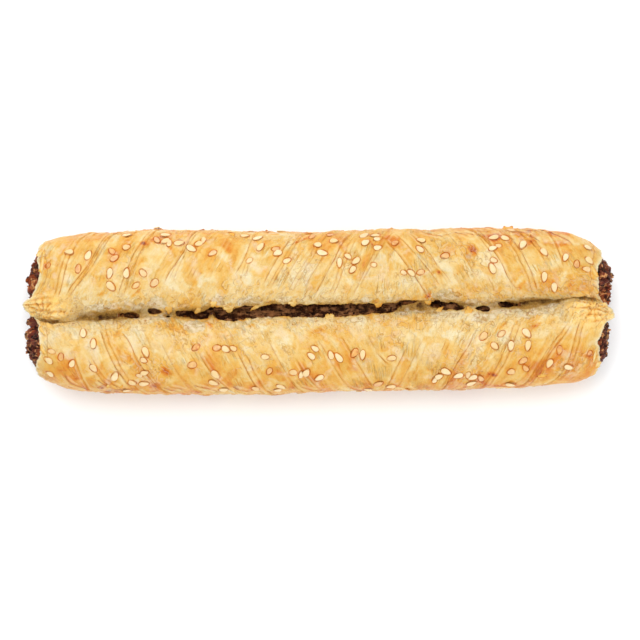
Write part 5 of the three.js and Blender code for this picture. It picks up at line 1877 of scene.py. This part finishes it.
    # loose bits of mince: at both ends and down in the crack
    spots = []
    for sx, cap in ((-1, V[1]), (1, V[2])):
        mid = cap[(np.abs(cap[:, 1]) < 25) & (cap[:, 2] > 1.5) & (np.abs(cap[:, 0]) > L + 0.8)]
        pick = mid[r.choice(len(mid), 64, replace=False)]
        for c in pick:
            size = r.uniform(0.5, 1.0) + 0.6 * r.random() ** 3
            spots.append((c - [sx * 0.75 * size, 0, 0], size, 1))
    inner_fine = fine[r.choice(len(fine), 260, replace=False)]
    b0, n0_ = sheet_point(inner_fine[:, 0], inner_fine[:, 1])
    for c, nn, tt in zip(b0, n0_, inner_fine[:, 1]):
        if not any(in_loop(np.array([[c[0], tt]]), loop)[0] for loop in holes):
            continue
        spots.append((c - nn * (2.3 + r.uniform(0, 0.5)) + [0, 0, 0.7 * float(bell(tt, 2.2))], r.uniform(0.4, 0.95), 0))
    ball, ball_f = ico(2)
    ball1, ball1_f = ico(1)
    for k, (c, size, big) in enumerate(spots):
        bv, bf = (ball, ball_f) if big else (ball1, ball1_f)
        q_, _ = np.linalg.qr(r.normal(size=(3, 3)))
        if np.linalg.det(q_) < 0:
            q_[:, 0] = -q_[:, 0]
        off = r.uniform(0, 50, 3)
        rad = 1 + 0.5 * noise3(bv * 1.2 + off, 51) + 0.24 * np.abs(noise3(bv * 2.4 + off, 52)) + 0.12 * noise3(bv * 5.0 + off, 53)
        pts_ = (bv * rad[:, None] * size * np.array([1.0, r.uniform(0.6, 0.9), r.uniform(0.45, 0.75)])) @ q_.T * (1.0 if big else np.array([1.9, 0.8, 0.7])) + c
        pts_[:, 2] = np.maximum(pts_[:, 2], 0.3)
        pts_[:, 0] = np.clip(pts_[:, 0], -101.2, 101.2)
        if pts_[:, 2].max() > 25:
            continue
        V.append(pts_)
        F.append(bf + at)
        at += len(pts_)
        cell_id.append(np.full(len(pts_), r.random()))
        shade.append(np.full(len(pts_), 0.8))
    V, F = np.concatenate(V), np.concatenate(F)
    weld_ = np.arange(len(V))
    pair_lo = np.concatenate([[where[0]], where[s2 : s2 + len(lo)], [where[n0]]])
    pair_hi = np.concatenate([[where[n0 - 1]], where[s3 : s3 + len(hi)], [where[n0 + n1 - 1]]])
    weld_[pair_hi] = pair_lo
    F = weld_[F]
    F = F[(F[:, 0] != F[:, 1]) & (F[:, 1] != F[:, 2]) & (F[:, 0] != F[:, 2])]
    used_, inv_ = np.unique(F, return_inverse=True)
    F = inv_.reshape(-1, 3)
    o = make_object("filling_mince", V[used_], F)
    put(o, "grain", np.concatenate(cell_id)[used_])
    put(o, "open", np.concatenate(shade)[used_])
    put(o, "pit", smoothstep(90, 86, np.abs(V[used_][:, 0])))
    print("filling", len(V), "tris", len(F))
    return o


filling = build_filling()

# ---------------------------------------------------------------------------------------------------------
# Materials
def lin(c):
    c = np.asarray(c, float) / 255.0
    return np.where(c <= 0.04045, c / 12.92, ((c + 0.055) / 1.055) ** 2.4)


ALBEDO = 0.744  # the photograph's values are under a light well over one


def col(r, g, b, k=None):
    v = lin((r, g, b)) * (ALBEDO if k is None else k)
    return (*[float(q) for q in v], 1.0)


class Tree:
    def __init__(self, name):
        self.mat = bpy.data.materials.new(name)
        self.mat.use_nodes = True
        self.t = self.mat.node_tree
        self.t.nodes.clear()
        self.out = self.t.nodes.new("ShaderNodeOutputMaterial")
        self.bsdf = self.t.nodes.new("ShaderNodeBsdfPrincipled")
        self.t.links.new(self.bsdf.outputs[0], self.out.inputs["Surface"])

    def put(self, socket, v):
        if isinstance(v, bpy.types.NodeSocket):
            self.t.links.new(v, socket)
        elif v is not None:
            socket.default_value = v

    def attr(self, name, vector=False):
        n = self.t.nodes.new("ShaderNodeAttribute")
        n.attribute_name = name
        n.attribute_type = "GEOMETRY"
        return n.outputs["Vector" if vector else "Fac"]

    def place(self):
        return self.t.nodes.new("ShaderNodeTexCoord").outputs["Object"]

    def math(self, op, a, b=None, c=None, clamp=False):
        n = self.t.nodes.new("ShaderNodeMath")
        n.operation = op
        n.use_clamp = clamp
        for i, v in enumerate((a, b, c)):
            self.put(n.inputs[i], v)
        return n.outputs[0]

    def span(self, v, a, b, c=0.0, d=1.0, soft=True):
        n = self.t.nodes.new("ShaderNodeMapRange")
        n.interpolation_type = "SMOOTHSTEP" if soft else "LINEAR"
        n.clamp = True
        for i, q in enumerate((v, a, b, c, d)):
            self.put(n.inputs[i], q)
        return n.outputs[0]

    def gauss(self, v, width, centre=0.0):
        """Bell curve of v about centre."""
        d = self.math("DIVIDE", self.math("SUBTRACT", v, centre), width)
        return self.math("EXPONENT", self.math("MULTIPLY", self.math("MULTIPLY", d, d), -1.0))

    def scale(self, vec, sx, sy=None, sz=None):
        n = self.t.nodes.new("ShaderNodeVectorMath")
        n.operation = "MULTIPLY"
        self.put(n.inputs[0], vec)
        n.inputs[1].default_value = (sx, sx if sy is None else sy, sx if sz is None else sz)
        return n.outputs[0]

    def noise(self, vec, scale, detail=2.0, rough=0.5, twist=0.0):
        n = self.t.nodes.new("ShaderNodeTexNoise")
        self.put(n.inputs["Vector"], vec)
        n.inputs["Scale"].default_value = scale
        n.inputs["Detail"].default_value = detail
        n.inputs["Roughness"].default_value = rough
        n.inputs["Distortion"].default_value = twist
        return n.outputs[0]

    def voronoi(self, vec, scale, feature="F1"):
        n = self.t.nodes.new("ShaderNodeTexVoronoi")
        n.feature = feature
        self.put(n.inputs["Vector"], vec)
        n.inputs["Scale"].default_value = scale
        return n

    def mix(self, fac, a, b, blend="MIX"):
        n = self.t.nodes.new("ShaderNodeMix")
        n.data_type = "RGBA"
        n.blend_type = blend
        n.clamp_factor = True
        self.put(n.inputs[0], fac)
        self.put(n.inputs[6], a)
        self.put(n.inputs[7], b)
        return n.outputs[2]

    def ramp(self, fac, stops):
        n = self.t.nodes.new("ShaderNodeValToRGB")
        self.put(n.inputs[0], fac)
        e = n.color_ramp.elements
        while len(e) < len(stops):
            e.new(0.5)
        for k, (pos, c) in enumerate(stops):
            e[k].position = pos
            e[k].color = c
        return n.outputs[0]

    def bump(self, height, distance, strength=1.0, normal=None):
        n = self.t.nodes.new("ShaderNodeBump")
        n.inputs["Strength"].default_value = strength
        n.inputs["Distance"].default_value = distance
        self.put(n.inputs["Height"], height)
        if normal is not None:
            self.put(n.inputs["Normal"], normal)
        return n.outputs[0]


def baked(m, tone):
    """Colour of dough by how far it is baked."""
    return m.ramp(tone, [
        (0.0, col(252, 232, 184)), (0.16, col(249, 217, 150)), (0.31, col(246, 200, 112)), (0.45, col(243, 183, 80)),
        (0.6, col(238, 163, 58)), (0.74, col(230, 134, 32)), (0.87, col(204, 92, 12)), (1.0, col(146, 52, 4)),
    ])


def crust_material():
    m = Tree("baked_crust")
    pos = m.scale(m.place(), 1000.0)  # millimetres
    sheet = m.attr("sheet", True)
    line_d, line_s = m.attr("line_d"), m.attr("line_s")
    hole, edge = m.attr("hole"), m.attr("edge")
    seed_d, seed_b, cut, under = m.attr("seed_d"), m.attr("seed_b"), m.attr("cut"), m.attr("under")
    tone, glass, frost, deep = m.attr("tone"), m.attr("glass"), m.attr("frost"), m.attr("deep")
    mid = m.noise(pos, 0.42, 4.0, 0.62, 0.8)
    small = m.noise(pos, 1.1, 3.0, 0.6, 0.4)
    thin = m.noise(m.scale(sheet, 1.9, 0.2, 0.05), 1.0, 2.0, 0.55, 0.3)
    fine = m.noise(pos, 3.4, 2.0, 0.6)
    t = m.math("ADD", tone, m.math("MULTIPLY", m.math("SUBTRACT", mid, 0.5), 0.24))
    t = m.math("ADD", t, m.math("MULTIPLY", m.math("SUBTRACT", small, 0.5), 0.12))
    t = m.math("ADD", t, m.math("MULTIPLY", m.math("SUBTRACT", thin, 0.5), 0.06))
    t = m.math("ADD", t, m.math("MULTIPLY", m.math("SUBTRACT", fine, 0.5), 0.12))
    # hairline wrinkles that run with the folds: a thin darker line with a painted highlight beside it
    hair_n = m.noise(m.scale(sheet, 0.75, 0.075, 0.05), 1.0, 2.0, 0.5, 0.5)
    hair_m = m.span(m.noise(pos, 0.17, 2.0), 0.54, 0.64)
    hair = m.math("MULTIPLY", m.gauss(hair_n, 0.022, 0.5), hair_m)
    hair_highlight = m.math("MULTIPLY", m.gauss(hair_n, 0.03, 0.565), hair_m)
    hair2_n = m.noise(m.scale(sheet, 1.7, 0.22, 0.05), 1.0, 1.0, 0.5, 0.7)
    hair2 = m.math("MULTIPLY", m.gauss(hair2_n, 0.03, 0.5), m.span(m.noise(pos, 0.23, 2.0), 0.53, 0.63))
    hairs = m.math("ADD", hair, m.math("MULTIPLY", hair2, 0.5))
    t = m.math("ADD", t, m.math("MULTIPLY", hairs, 0.17))
    t = m.math("SUBTRACT", t, m.math("MULTIPLY", hair_highlight, 0.13))
    # sharp small detail, more of it near the valley
    chip = m.noise(m.scale(sheet, 1.3, 0.8, 0.05), 1.0, 3.0, 0.72, 1.0)
    near_valley = m.span(m.math("ABSOLUTE", m.attr("round")), 15.0, 5.0)
    chips = m.math("SUBTRACT", m.span(chip, 0.57, 0.62), m.span(chip, 0.43, 0.38))
    t = m.math("ADD", t, m.math("MULTIPLY", chips, m.math("ADD", 0.05, m.math("MULTIPLY", near_valley, 0.09))))
    c = baked(m, t)
    # the pinched tongue is a brighter gold, brighter than the crust's own colours: painted light
    c = m.mix(m.math("MULTIPLY", m.attr("tongue"), 0.6), c, m.mix(m.span(t, 0.3, 0.62), col(255, 214, 124, 0.97), col(248, 162, 48, 0.95)))
    # glassy places are greyer, with a darker rim
    g = m.math("ADD", glass, m.math("MULTIPLY", m.math("SUBTRACT", mid, 0.5), 0.5))
    g = m.math("MULTIPLY", m.span(g, 0.25, 0.7), m.span(glass, 0.02, 0.2))
    c = m.mix(m.math("MULTIPLY", g, 0.68), c, m.mix(m.span(m.noise(pos, 0.42, 2.0, 0.5, 0.8), 0.4, 0.62), col(204, 174, 120), col(246, 232, 202)))
    g_rim = m.math("MULTIPLY", m.gauss(glass, 0.12, 0.3), m.span(small, 0.4, 0.6))
    c = m.mix(m.math("MULTIPLY", g_rim, 0.42), c, col(176, 126, 54))
    # thin layers end in a fine brown line, with a pale painted highlight beside it
    torn, flaky = m.attr("torn"), m.attr("flaky")
    tear = m.math("ADD", torn, m.math("MULTIPLY", m.math("SUBTRACT", fine, 0.5), 0.05))
    tears = m.math("MULTIPLY", m.math("MAXIMUM", m.gauss(tear, 0.022, 0.1), m.gauss(tear, 0.022, -0.22)), flaky)
    tears = m.math("MULTIPLY", tears, m.span(m.noise(pos, 0.35, 2.0), 0.37, 0.5))
    c = m.mix(m.math("MULTIPLY", tears, 0.75), c, col(184, 114, 40))
    over = m.math("MULTIPLY", m.math("MAXIMUM", m.gauss(tear, 0.04, 0.17), m.gauss(tear, 0.04, -0.15)), flaky)
    c = m.mix(m.math("MULTIPLY", over, 0.4), c, col(255, 240, 204))
    # frosty places: pale with fine pin holes; the pale is partly painted sheen
    f = m.math("MULTIPLY", frost, m.span(mid, 0.36, 0.58))
    c = m.mix(m.math("MULTIPLY", f, 0.55), c, col(253, 230, 192))
    pins = m.voronoi(pos, 1.15).outputs["Distance"]
    pin = m.math("MULTIPLY", m.span(pins, 0.17, 0.07), m.math("ADD", m.math("MULTIPLY", f, 0.8), m.math("MULTIPLY", m.span(mid, 0.6, 0.68), 0.35)))
    c = m.mix(m.math("MULTIPLY", pin, 0.5), c, col(198, 142, 78))
    # the darker slopes of the crack: brown dough and painted shade, near black where the creases' painted shade is
    # strongest
    slope = m.math("MULTIPLY", deep, m.span(mid, 0.25, 0.65, 0.75, 1.15))
    crisp = m.math("ADD", slope, m.math("MULTIPLY", m.math("SUBTRACT", small, 0.5), 0.35))
    c = m.mix(m.math("MULTIPLY", m.span(crisp, 0.12, 0.5), m.span(slope, 0.02, 0.12)), c, m.mix(m.span(fine, 0.35, 0.65), col(170, 118, 44), col(214, 168, 86)))
    c = m.mix(m.span(crisp, 0.5, 0.95), c, m.mix(m.span(fine, 0.4, 0.62), col(64, 32, 4), col(122, 74, 18)))
    # fold lines: thin, brown, broken here and there
    line = m.math("MULTIPLY", m.gauss(line_d, 0.15), m.math("MULTIPLY", line_s, 1.15))
    line = m.math("MULTIPLY", line, m.span(m.noise(pos, 0.5, 2.0), 0.3, 0.6, 0.65, 1.25))
    wide_line = m.math("MULTIPLY", m.gauss(line_d, 0.23), m.span(line_s, 1.2, 2.0))
    line = m.math("MAXIMUM", line, wide_line)
    line_c = m.mix(m.span(line_s, 1.1, 2.0), col(206, 120, 28), col(184, 82, 12))
    c = m.mix(m.math("MULTIPLY", line, 1.0, clamp=True), c, line_c)
    # a painted highlight beside each fold line
    beside = m.math("MULTIPLY", m.gauss(line_d, 0.3, 0.75), m.math("MINIMUM", line_s, 1.0))
    c = m.mix(m.math("MULTIPLY", beside, 0.42), c, col(255, 232, 176))
    # a browned ring round the seeds, with painted contact shadow in it
    ring = m.math("MULTIPLY", m.gauss(seed_d, 0.17, 0.1), m.math("MINIMUM", m.math("ADD", seed_b, 0.25), 1.0))
    ring = m.math("MULTIPLY", ring, m.span(m.noise(pos, 0.7, 1.0), 0.3, 0.6, 0.6, 1.3))
    c = m.mix(m.math("MULTIPLY", ring, 1.0, clamp=True), c, col(212, 104, 2))
    # torn lips
    c = m.mix(m.math("MULTIPLY", m.gauss(hole, 0.14), 0.5), c, col(120, 74, 30))
    # pale lip and the hem beside the cut ends
    c = m.mix(m.math("MULTIPLY", m.gauss(m.math("ADD", edge, m.math("MULTIPLY", m.math("SUBTRACT", small, 0.5), 0.5)), 0.42), 0.75), c, col(253, 238, 196))
    hem = m.math("MULTIPLY", m.gauss(m.math("ADD", edge, m.math("MULTIPLY", m.math("SUBTRACT", mid, 0.5), 1.6)), 0.16, 2.7), m.span(m.noise(pos, 0.12, 1.0), 0.42, 0.56))
    c = m.mix(m.math("MULTIPLY", hem, 0.6), c, col(196, 124, 50))
    # the base is browner and duller
    c = m.mix(m.math("MULTIPLY", under, 0.6), c, m.mix(m.span(mid, 0.35, 0.65), col(206, 138, 66), col(232, 176, 100)))
    # cut through the layers, and inside
    layers = m.noise(pos, 0.9, 2.0)
    depth = m.math("ADD", m.attr("layer"), m.math("MULTIPLY", m.math("SUBTRACT", layers, 0.5), 0.35))
    bands = m.math("ABSOLUTE", m.math("SINE", m.math("MULTIPLY", depth, 11.0)))
    inside = m.mix(m.span(bands, 0.15, 0.7), col(232, 158, 72, 0.9), col(255, 224, 160, 0.9))
    inside = m.mix(m.span(hole, 1.6, 0.2), inside, m.mix(m.span(layers, 0.4, 0.6), col(96, 54, 22), col(166, 112, 52)))
    c = m.mix(cut, c, inside)
    m.put(m.bsdf.inputs["Base Color"], c)
    # relief too fine for the mesh
    h = m.math("ADD", m.math("MULTIPLY", thin, 0.3), m.math("MULTIPLY", chips, 0.12))
    h = m.math("ADD", h, m.math("MULTIPLY", fine, 0.3))
    h = m.math("ADD", h, m.math("MULTIPLY", small, 0.55))
    h = m.math("SUBTRACT", h, m.math("MULTIPLY", line, 0.3))
    h = m.math("ADD", h, m.math("MULTIPLY", m.math("SUBTRACT", over, tears), 0.25))
    h = m.math("SUBTRACT", h, m.math("MULTIPLY", hairs, 0.35))
    h = m.math("ADD", h, m.math("MULTIPLY", hair_highlight, 0.25))
    h = m.math("SUBTRACT", h, m.math("MULTIPLY", pin, 0.5))
    h = m.math("SUBTRACT", h, m.math("MULTIPLY", ring, 0.3))
    m.put(m.bsdf.inputs["Normal"], m.bump(h, 0.00034, 1.0))
    rough = m.span(m.math("ADD", m.math("MULTIPLY", mid, 0.6), m.math("MULTIPLY", g, -0.25)), 0.1, 0.5, 0.2, 0.44, False)
    rough = m.math("ADD", rough, m.math("MULTIPLY", cut, 0.25))
    rough = m.math("ADD", rough, m.math("MULTIPLY", m.span(deep, 0.1, 0.6), 0.3))
    m.put(m.bsdf.inputs["Roughness"], rough)
    m.bsdf.inputs["IOR"].default_value = 1.45
    m.bsdf.inputs["Specular IOR Level"].default_value = 0.27
    m.bsdf.inputs["Subsurface Weight"].default_value = 0.08
    m.bsdf.inputs["Subsurface Radius"].default_value = (1.0, 0.55, 0.22)
    m.bsdf.inputs["Subsurface Scale"].default_value = 0.0011
    return m.mat


def flake_material():
    m = Tree("flaky_dough")
    pos = m.scale(m.place(), 1000.0)
    tone, rim, wet = m.attr("tone"), m.attr("rim"), m.attr("wet")
    mid, fine = m.noise(pos, 0.9, 3.0, 0.6, 0.5), m.noise(pos, 3.0, 2.0, 0.6)
    t = m.math("ADD", tone, m.math("MULTIPLY", m.math("SUBTRACT", mid, 0.5), 0.4))
    t = m.math("ADD", t, m.math("MULTIPLY", m.gauss(rim, 0.22), 0.3))
    c = baked(m, t)
    soaked = m.mix(m.span(m.math("ADD", m.math("MULTIPLY", mid, 0.7), m.math("MULTIPLY", rim, 0.2)), 0.3, 0.62), col(64, 30, 8), col(146, 88, 32))
    c = m.mix(wet, c, soaked)
    m.put(m.bsdf.inputs["Base Color"], c)
    m.put(m.bsdf.inputs["Normal"], m.bump(m.math("ADD", m.math("MULTIPLY", fine, 0.4), m.math("MULTIPLY", mid, 0.6)), 0.0002, 0.9))
    m.put(m.bsdf.inputs["Roughness"], m.span(mid, 0.3, 0.7, 0.26, 0.5, False))
    m.bsdf.inputs["Specular IOR Level"].default_value = 0.18
    m.bsdf.inputs["Subsurface Weight"].default_value = 0.1
    m.bsdf.inputs["Subsurface Radius"].default_value = (1.0, 0.55, 0.22)
    m.bsdf.inputs["Subsurface Scale"].default_value = 0.0006
    return m.mat


def seed_material():
    m = Tree("sesame")
    pos = m.scale(m.place(), 1000.0)
    tone, brown, along, rim = m.attr("tone"), m.attr("brown"), m.attr("along"), m.attr("rim")
    c = m.mix(tone, col(254, 230, 180), col(250, 214, 150))
    c = m.mix(m.math("MULTIPLY", m.span(m.noise(pos, 1.1, 2.0), 0.45, 0.7), 0.4), c, col(242, 202, 134))
    c = m.mix(m.math("MULTIPLY", m.span(along, 0.6, 1.0), 0.6), c, col(204, 136, 66))
    c = m.mix(m.math("MULTIPLY", m.span(rim, 0.88, 1.0), 0.55), c, col(232, 152, 48))
    c = m.mix(m.math("MULTIPLY", brown, 0.85, clamp=True), c, m.mix(m.span(m.noise(pos, 0.8, 2.0), 0.35, 0.65), col(220, 124, 30), col(240, 170, 72)))
    m.put(m.bsdf.inputs["Base Color"], c)
    m.put(m.bsdf.inputs["Normal"], m.bump(m.noise(m.scale(pos, 1.0), 3.0, 2.0), 0.00008, 0.6))
    m.bsdf.inputs["Roughness"].default_value = 0.36
    m.bsdf.inputs["Subsurface Weight"].default_value = 0.12
    m.bsdf.inputs["Subsurface Radius"].default_value = (1.0, 0.7, 0.4)
    m.bsdf.inputs["Subsurface Scale"].default_value = 0.0006
    return m.mat


def filling_material():
    m = Tree("mince")
    pos = m.scale(m.place(), 1000.0)
    grain, gap_shade_mask, pit = m.attr("grain"), m.attr("open"), m.attr("pit")
    c = m.ramp(grain, [
        (0.0, col(52, 22, 18, 0.9)), (0.12, col(104, 46, 28, 0.9)), (0.24, col(160, 84, 46, 0.9)), (0.36, col(72, 38, 36, 0.9)), (0.46, col(188, 120, 70, 0.9)),
        (0.56, col(84, 36, 26, 0.9)), (0.66, col(144, 62, 34, 0.9)), (0.76, col(104, 66, 58, 0.9)), (0.86, col(176, 102, 58, 0.9)), (1.0, col(220, 166, 112, 0.9)),
    ])
    patch = m.noise(pos, 0.16, 2.0, 0.5)
    c = m.mix(m.math("MULTIPLY", m.span(patch, 0.47, 0.58), 0.6), c, col(78, 42, 38, 0.9))
    c = m.mix(m.math("MULTIPLY", m.span(patch, 0.47, 0.38), 0.4), c, col(176, 84, 36, 0.9))
    c = m.mix(m.math("MULTIPLY", m.span(m.noise(pos, 0.45, 2.0, 0.55), 0.49, 0.6), 0.85), c, col(40, 16, 14))
    c = m.mix(m.math("MULTIPLY", m.span(m.noise(pos, 0.6, 2.0, 0.55), 0.56, 0.66), 0.75), c, col(222, 158, 100, 1.0))
    # the mince down in the crack is painted darker than at the ends: painted shade of the crack, over its own dark and
    # light bits
    c = m.mix(m.math("MULTIPLY", pit, 0.85), c, m.mix(m.span(m.noise(m.scale(pos, 0.45, 1.2, 1.2), 0.5, 3.0, 0.6), 0.46, 0.62), col(36, 14, 4, 0.9), m.mix(grain, col(116, 66, 32, 0.9), col(204, 142, 90, 0.9))))
    # near black in the gaps between lumps: painted shade
    c = m.mix(m.span(gap_shade_mask, 0.55, 0.1), c, col(22, 9, 6))
    m.put(m.bsdf.inputs["Base Color"], c)
    h = m.math("ADD", m.math("MULTIPLY", m.noise(pos, 1.6, 3.0, 0.65), 0.8), m.math("MULTIPLY", m.noise(pos, 4.5, 2.0), 0.3))
    m.put(m.bsdf.inputs["Normal"], m.bump(h, 0.0005, 1.0))
    m.put(m.bsdf.inputs["Roughness"], m.math("ADD", m.span(m.noise(pos, 1.3, 2.0), 0.3, 0.7, 0.2, 0.5, False), m.math("MULTIPLY", pit, 0.3)))
    m.bsdf.inputs["Specular IOR Level"].default_value = 0.07
    m.bsdf.inputs["IOR"].default_value = 1.4
    return m.mat


crust_mat, seed_mat, filling_mat = crust_material(), seed_material(), filling_material()
flakes.data.materials.append(flake_material())
crust.data.materials.append(crust_mat)
seeds_obj.data.materials.append(seed_mat)
filling.data.materials.append(filling_mat)

for _o in (crust, flakes, seeds_obj, filling):
    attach(_o, "root")
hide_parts("crust")
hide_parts("filling")

# ---------------------------------------------------------------------------------------------------------
# Floor, light and camera
bpy.ops.mesh.primitive_plane_add(size=6.0, location=(0, 0, -0.00005))
floor = bpy.context.object
floor.name = "floor"
_f = Tree("pale_floor")
_f.bsdf.inputs["Base Color"].default_value = (0.96, 0.96, 0.96, 1)
_f.bsdf.inputs["Roughness"].default_value = 0.9
_f.bsdf.inputs["Specular IOR Level"].default_value = 0.1
floor.data.materials.append(_f.mat)

world = bpy.data.worlds.new("studio")
bpy.context.scene.world = world
world.use_nodes = True
world.node_tree.nodes["Background"].inputs[0].default_value = (1.0, 1.0, 1.0, 1)
world.node_tree.nodes["Background"].inputs[1].default_value = 1.4
_w = world.node_tree
_dir = _w.nodes.new("ShaderNodeTexCoord")
_sep = _w.nodes.new("ShaderNodeSeparateXYZ")
_sky = _w.nodes.new("ShaderNodeValToRGB")
_stops = [(0.0, 0.74), (0.3, 0.74), (0.6, 0.62), (0.84, 0.52), (0.95, 0.2)]
while len(_sky.color_ramp.elements) < len(_stops):
    _sky.color_ramp.elements.new(0.5)
for _e, (_z, _v) in zip(_sky.color_ramp.elements, _stops):
    _e.position, _e.color = _z, (0.965 * _v, 0.985 * _v, _v, 1)
_w.links.new(_dir.outputs["Generated"], _sep.inputs[0])
_w.links.new(_sep.outputs["Z"], _sky.inputs[0])
_w.links.new(_sky.outputs[0], _w.nodes["Background"].inputs[0])


def area(name, place, aim, size, power, colour=(1, 1, 1)):
    d = bpy.data.lights.new(name, "AREA")
    d.shape = "RECTANGLE"
    d.size, d.size_y = size
    d.energy = power
    d.color = colour
    o = bpy.data.objects.new(name, d)
    bpy.context.scene.collection.objects.link(o)
    o.location = place
    o.rotation_mode = "QUATERNION"
    o.rotation_quaternion = (Vector(aim) - Vector(place)).to_track_quat("-Z", "Y")
    return o


area("key", (-0.13, 0.24, 0.78), (0, 0, 0), (0.6, 0.4), 2.95)
area("back", (-0.1, 0.52, 0.42), (0, 0, 0), (0.8, 0.4), 1.8)
area("front", (0.32, -0.55, 0.4), (0.04, 0, 0), (0.9, 0.4), 2.5)

cam_data = bpy.data.cameras.new("camera")
cam_data.lens = LENS
cam_data.sensor_width = SENSOR
cam_data.clip_start, cam_data.clip_end = 0.01, 20
cam = bpy.data.objects.new("camera", cam_data)
bpy.context.scene.collection.objects.link(cam)
_cx = CAM_U * math.cos(TURN) + CAM_V * math.sin(TURN)
_cy = -CAM_U * math.sin(TURN) + CAM_V * math.cos(TURN)
cam.location = (_cx * MM, _cy * MM, (CAM_D + LEVEL) * MM)
cam.rotation_euler = (0, 0, -TURN)
bpy.context.scene.camera = cam
bpy.context.scene.view_settings.view_transform = "Standard"
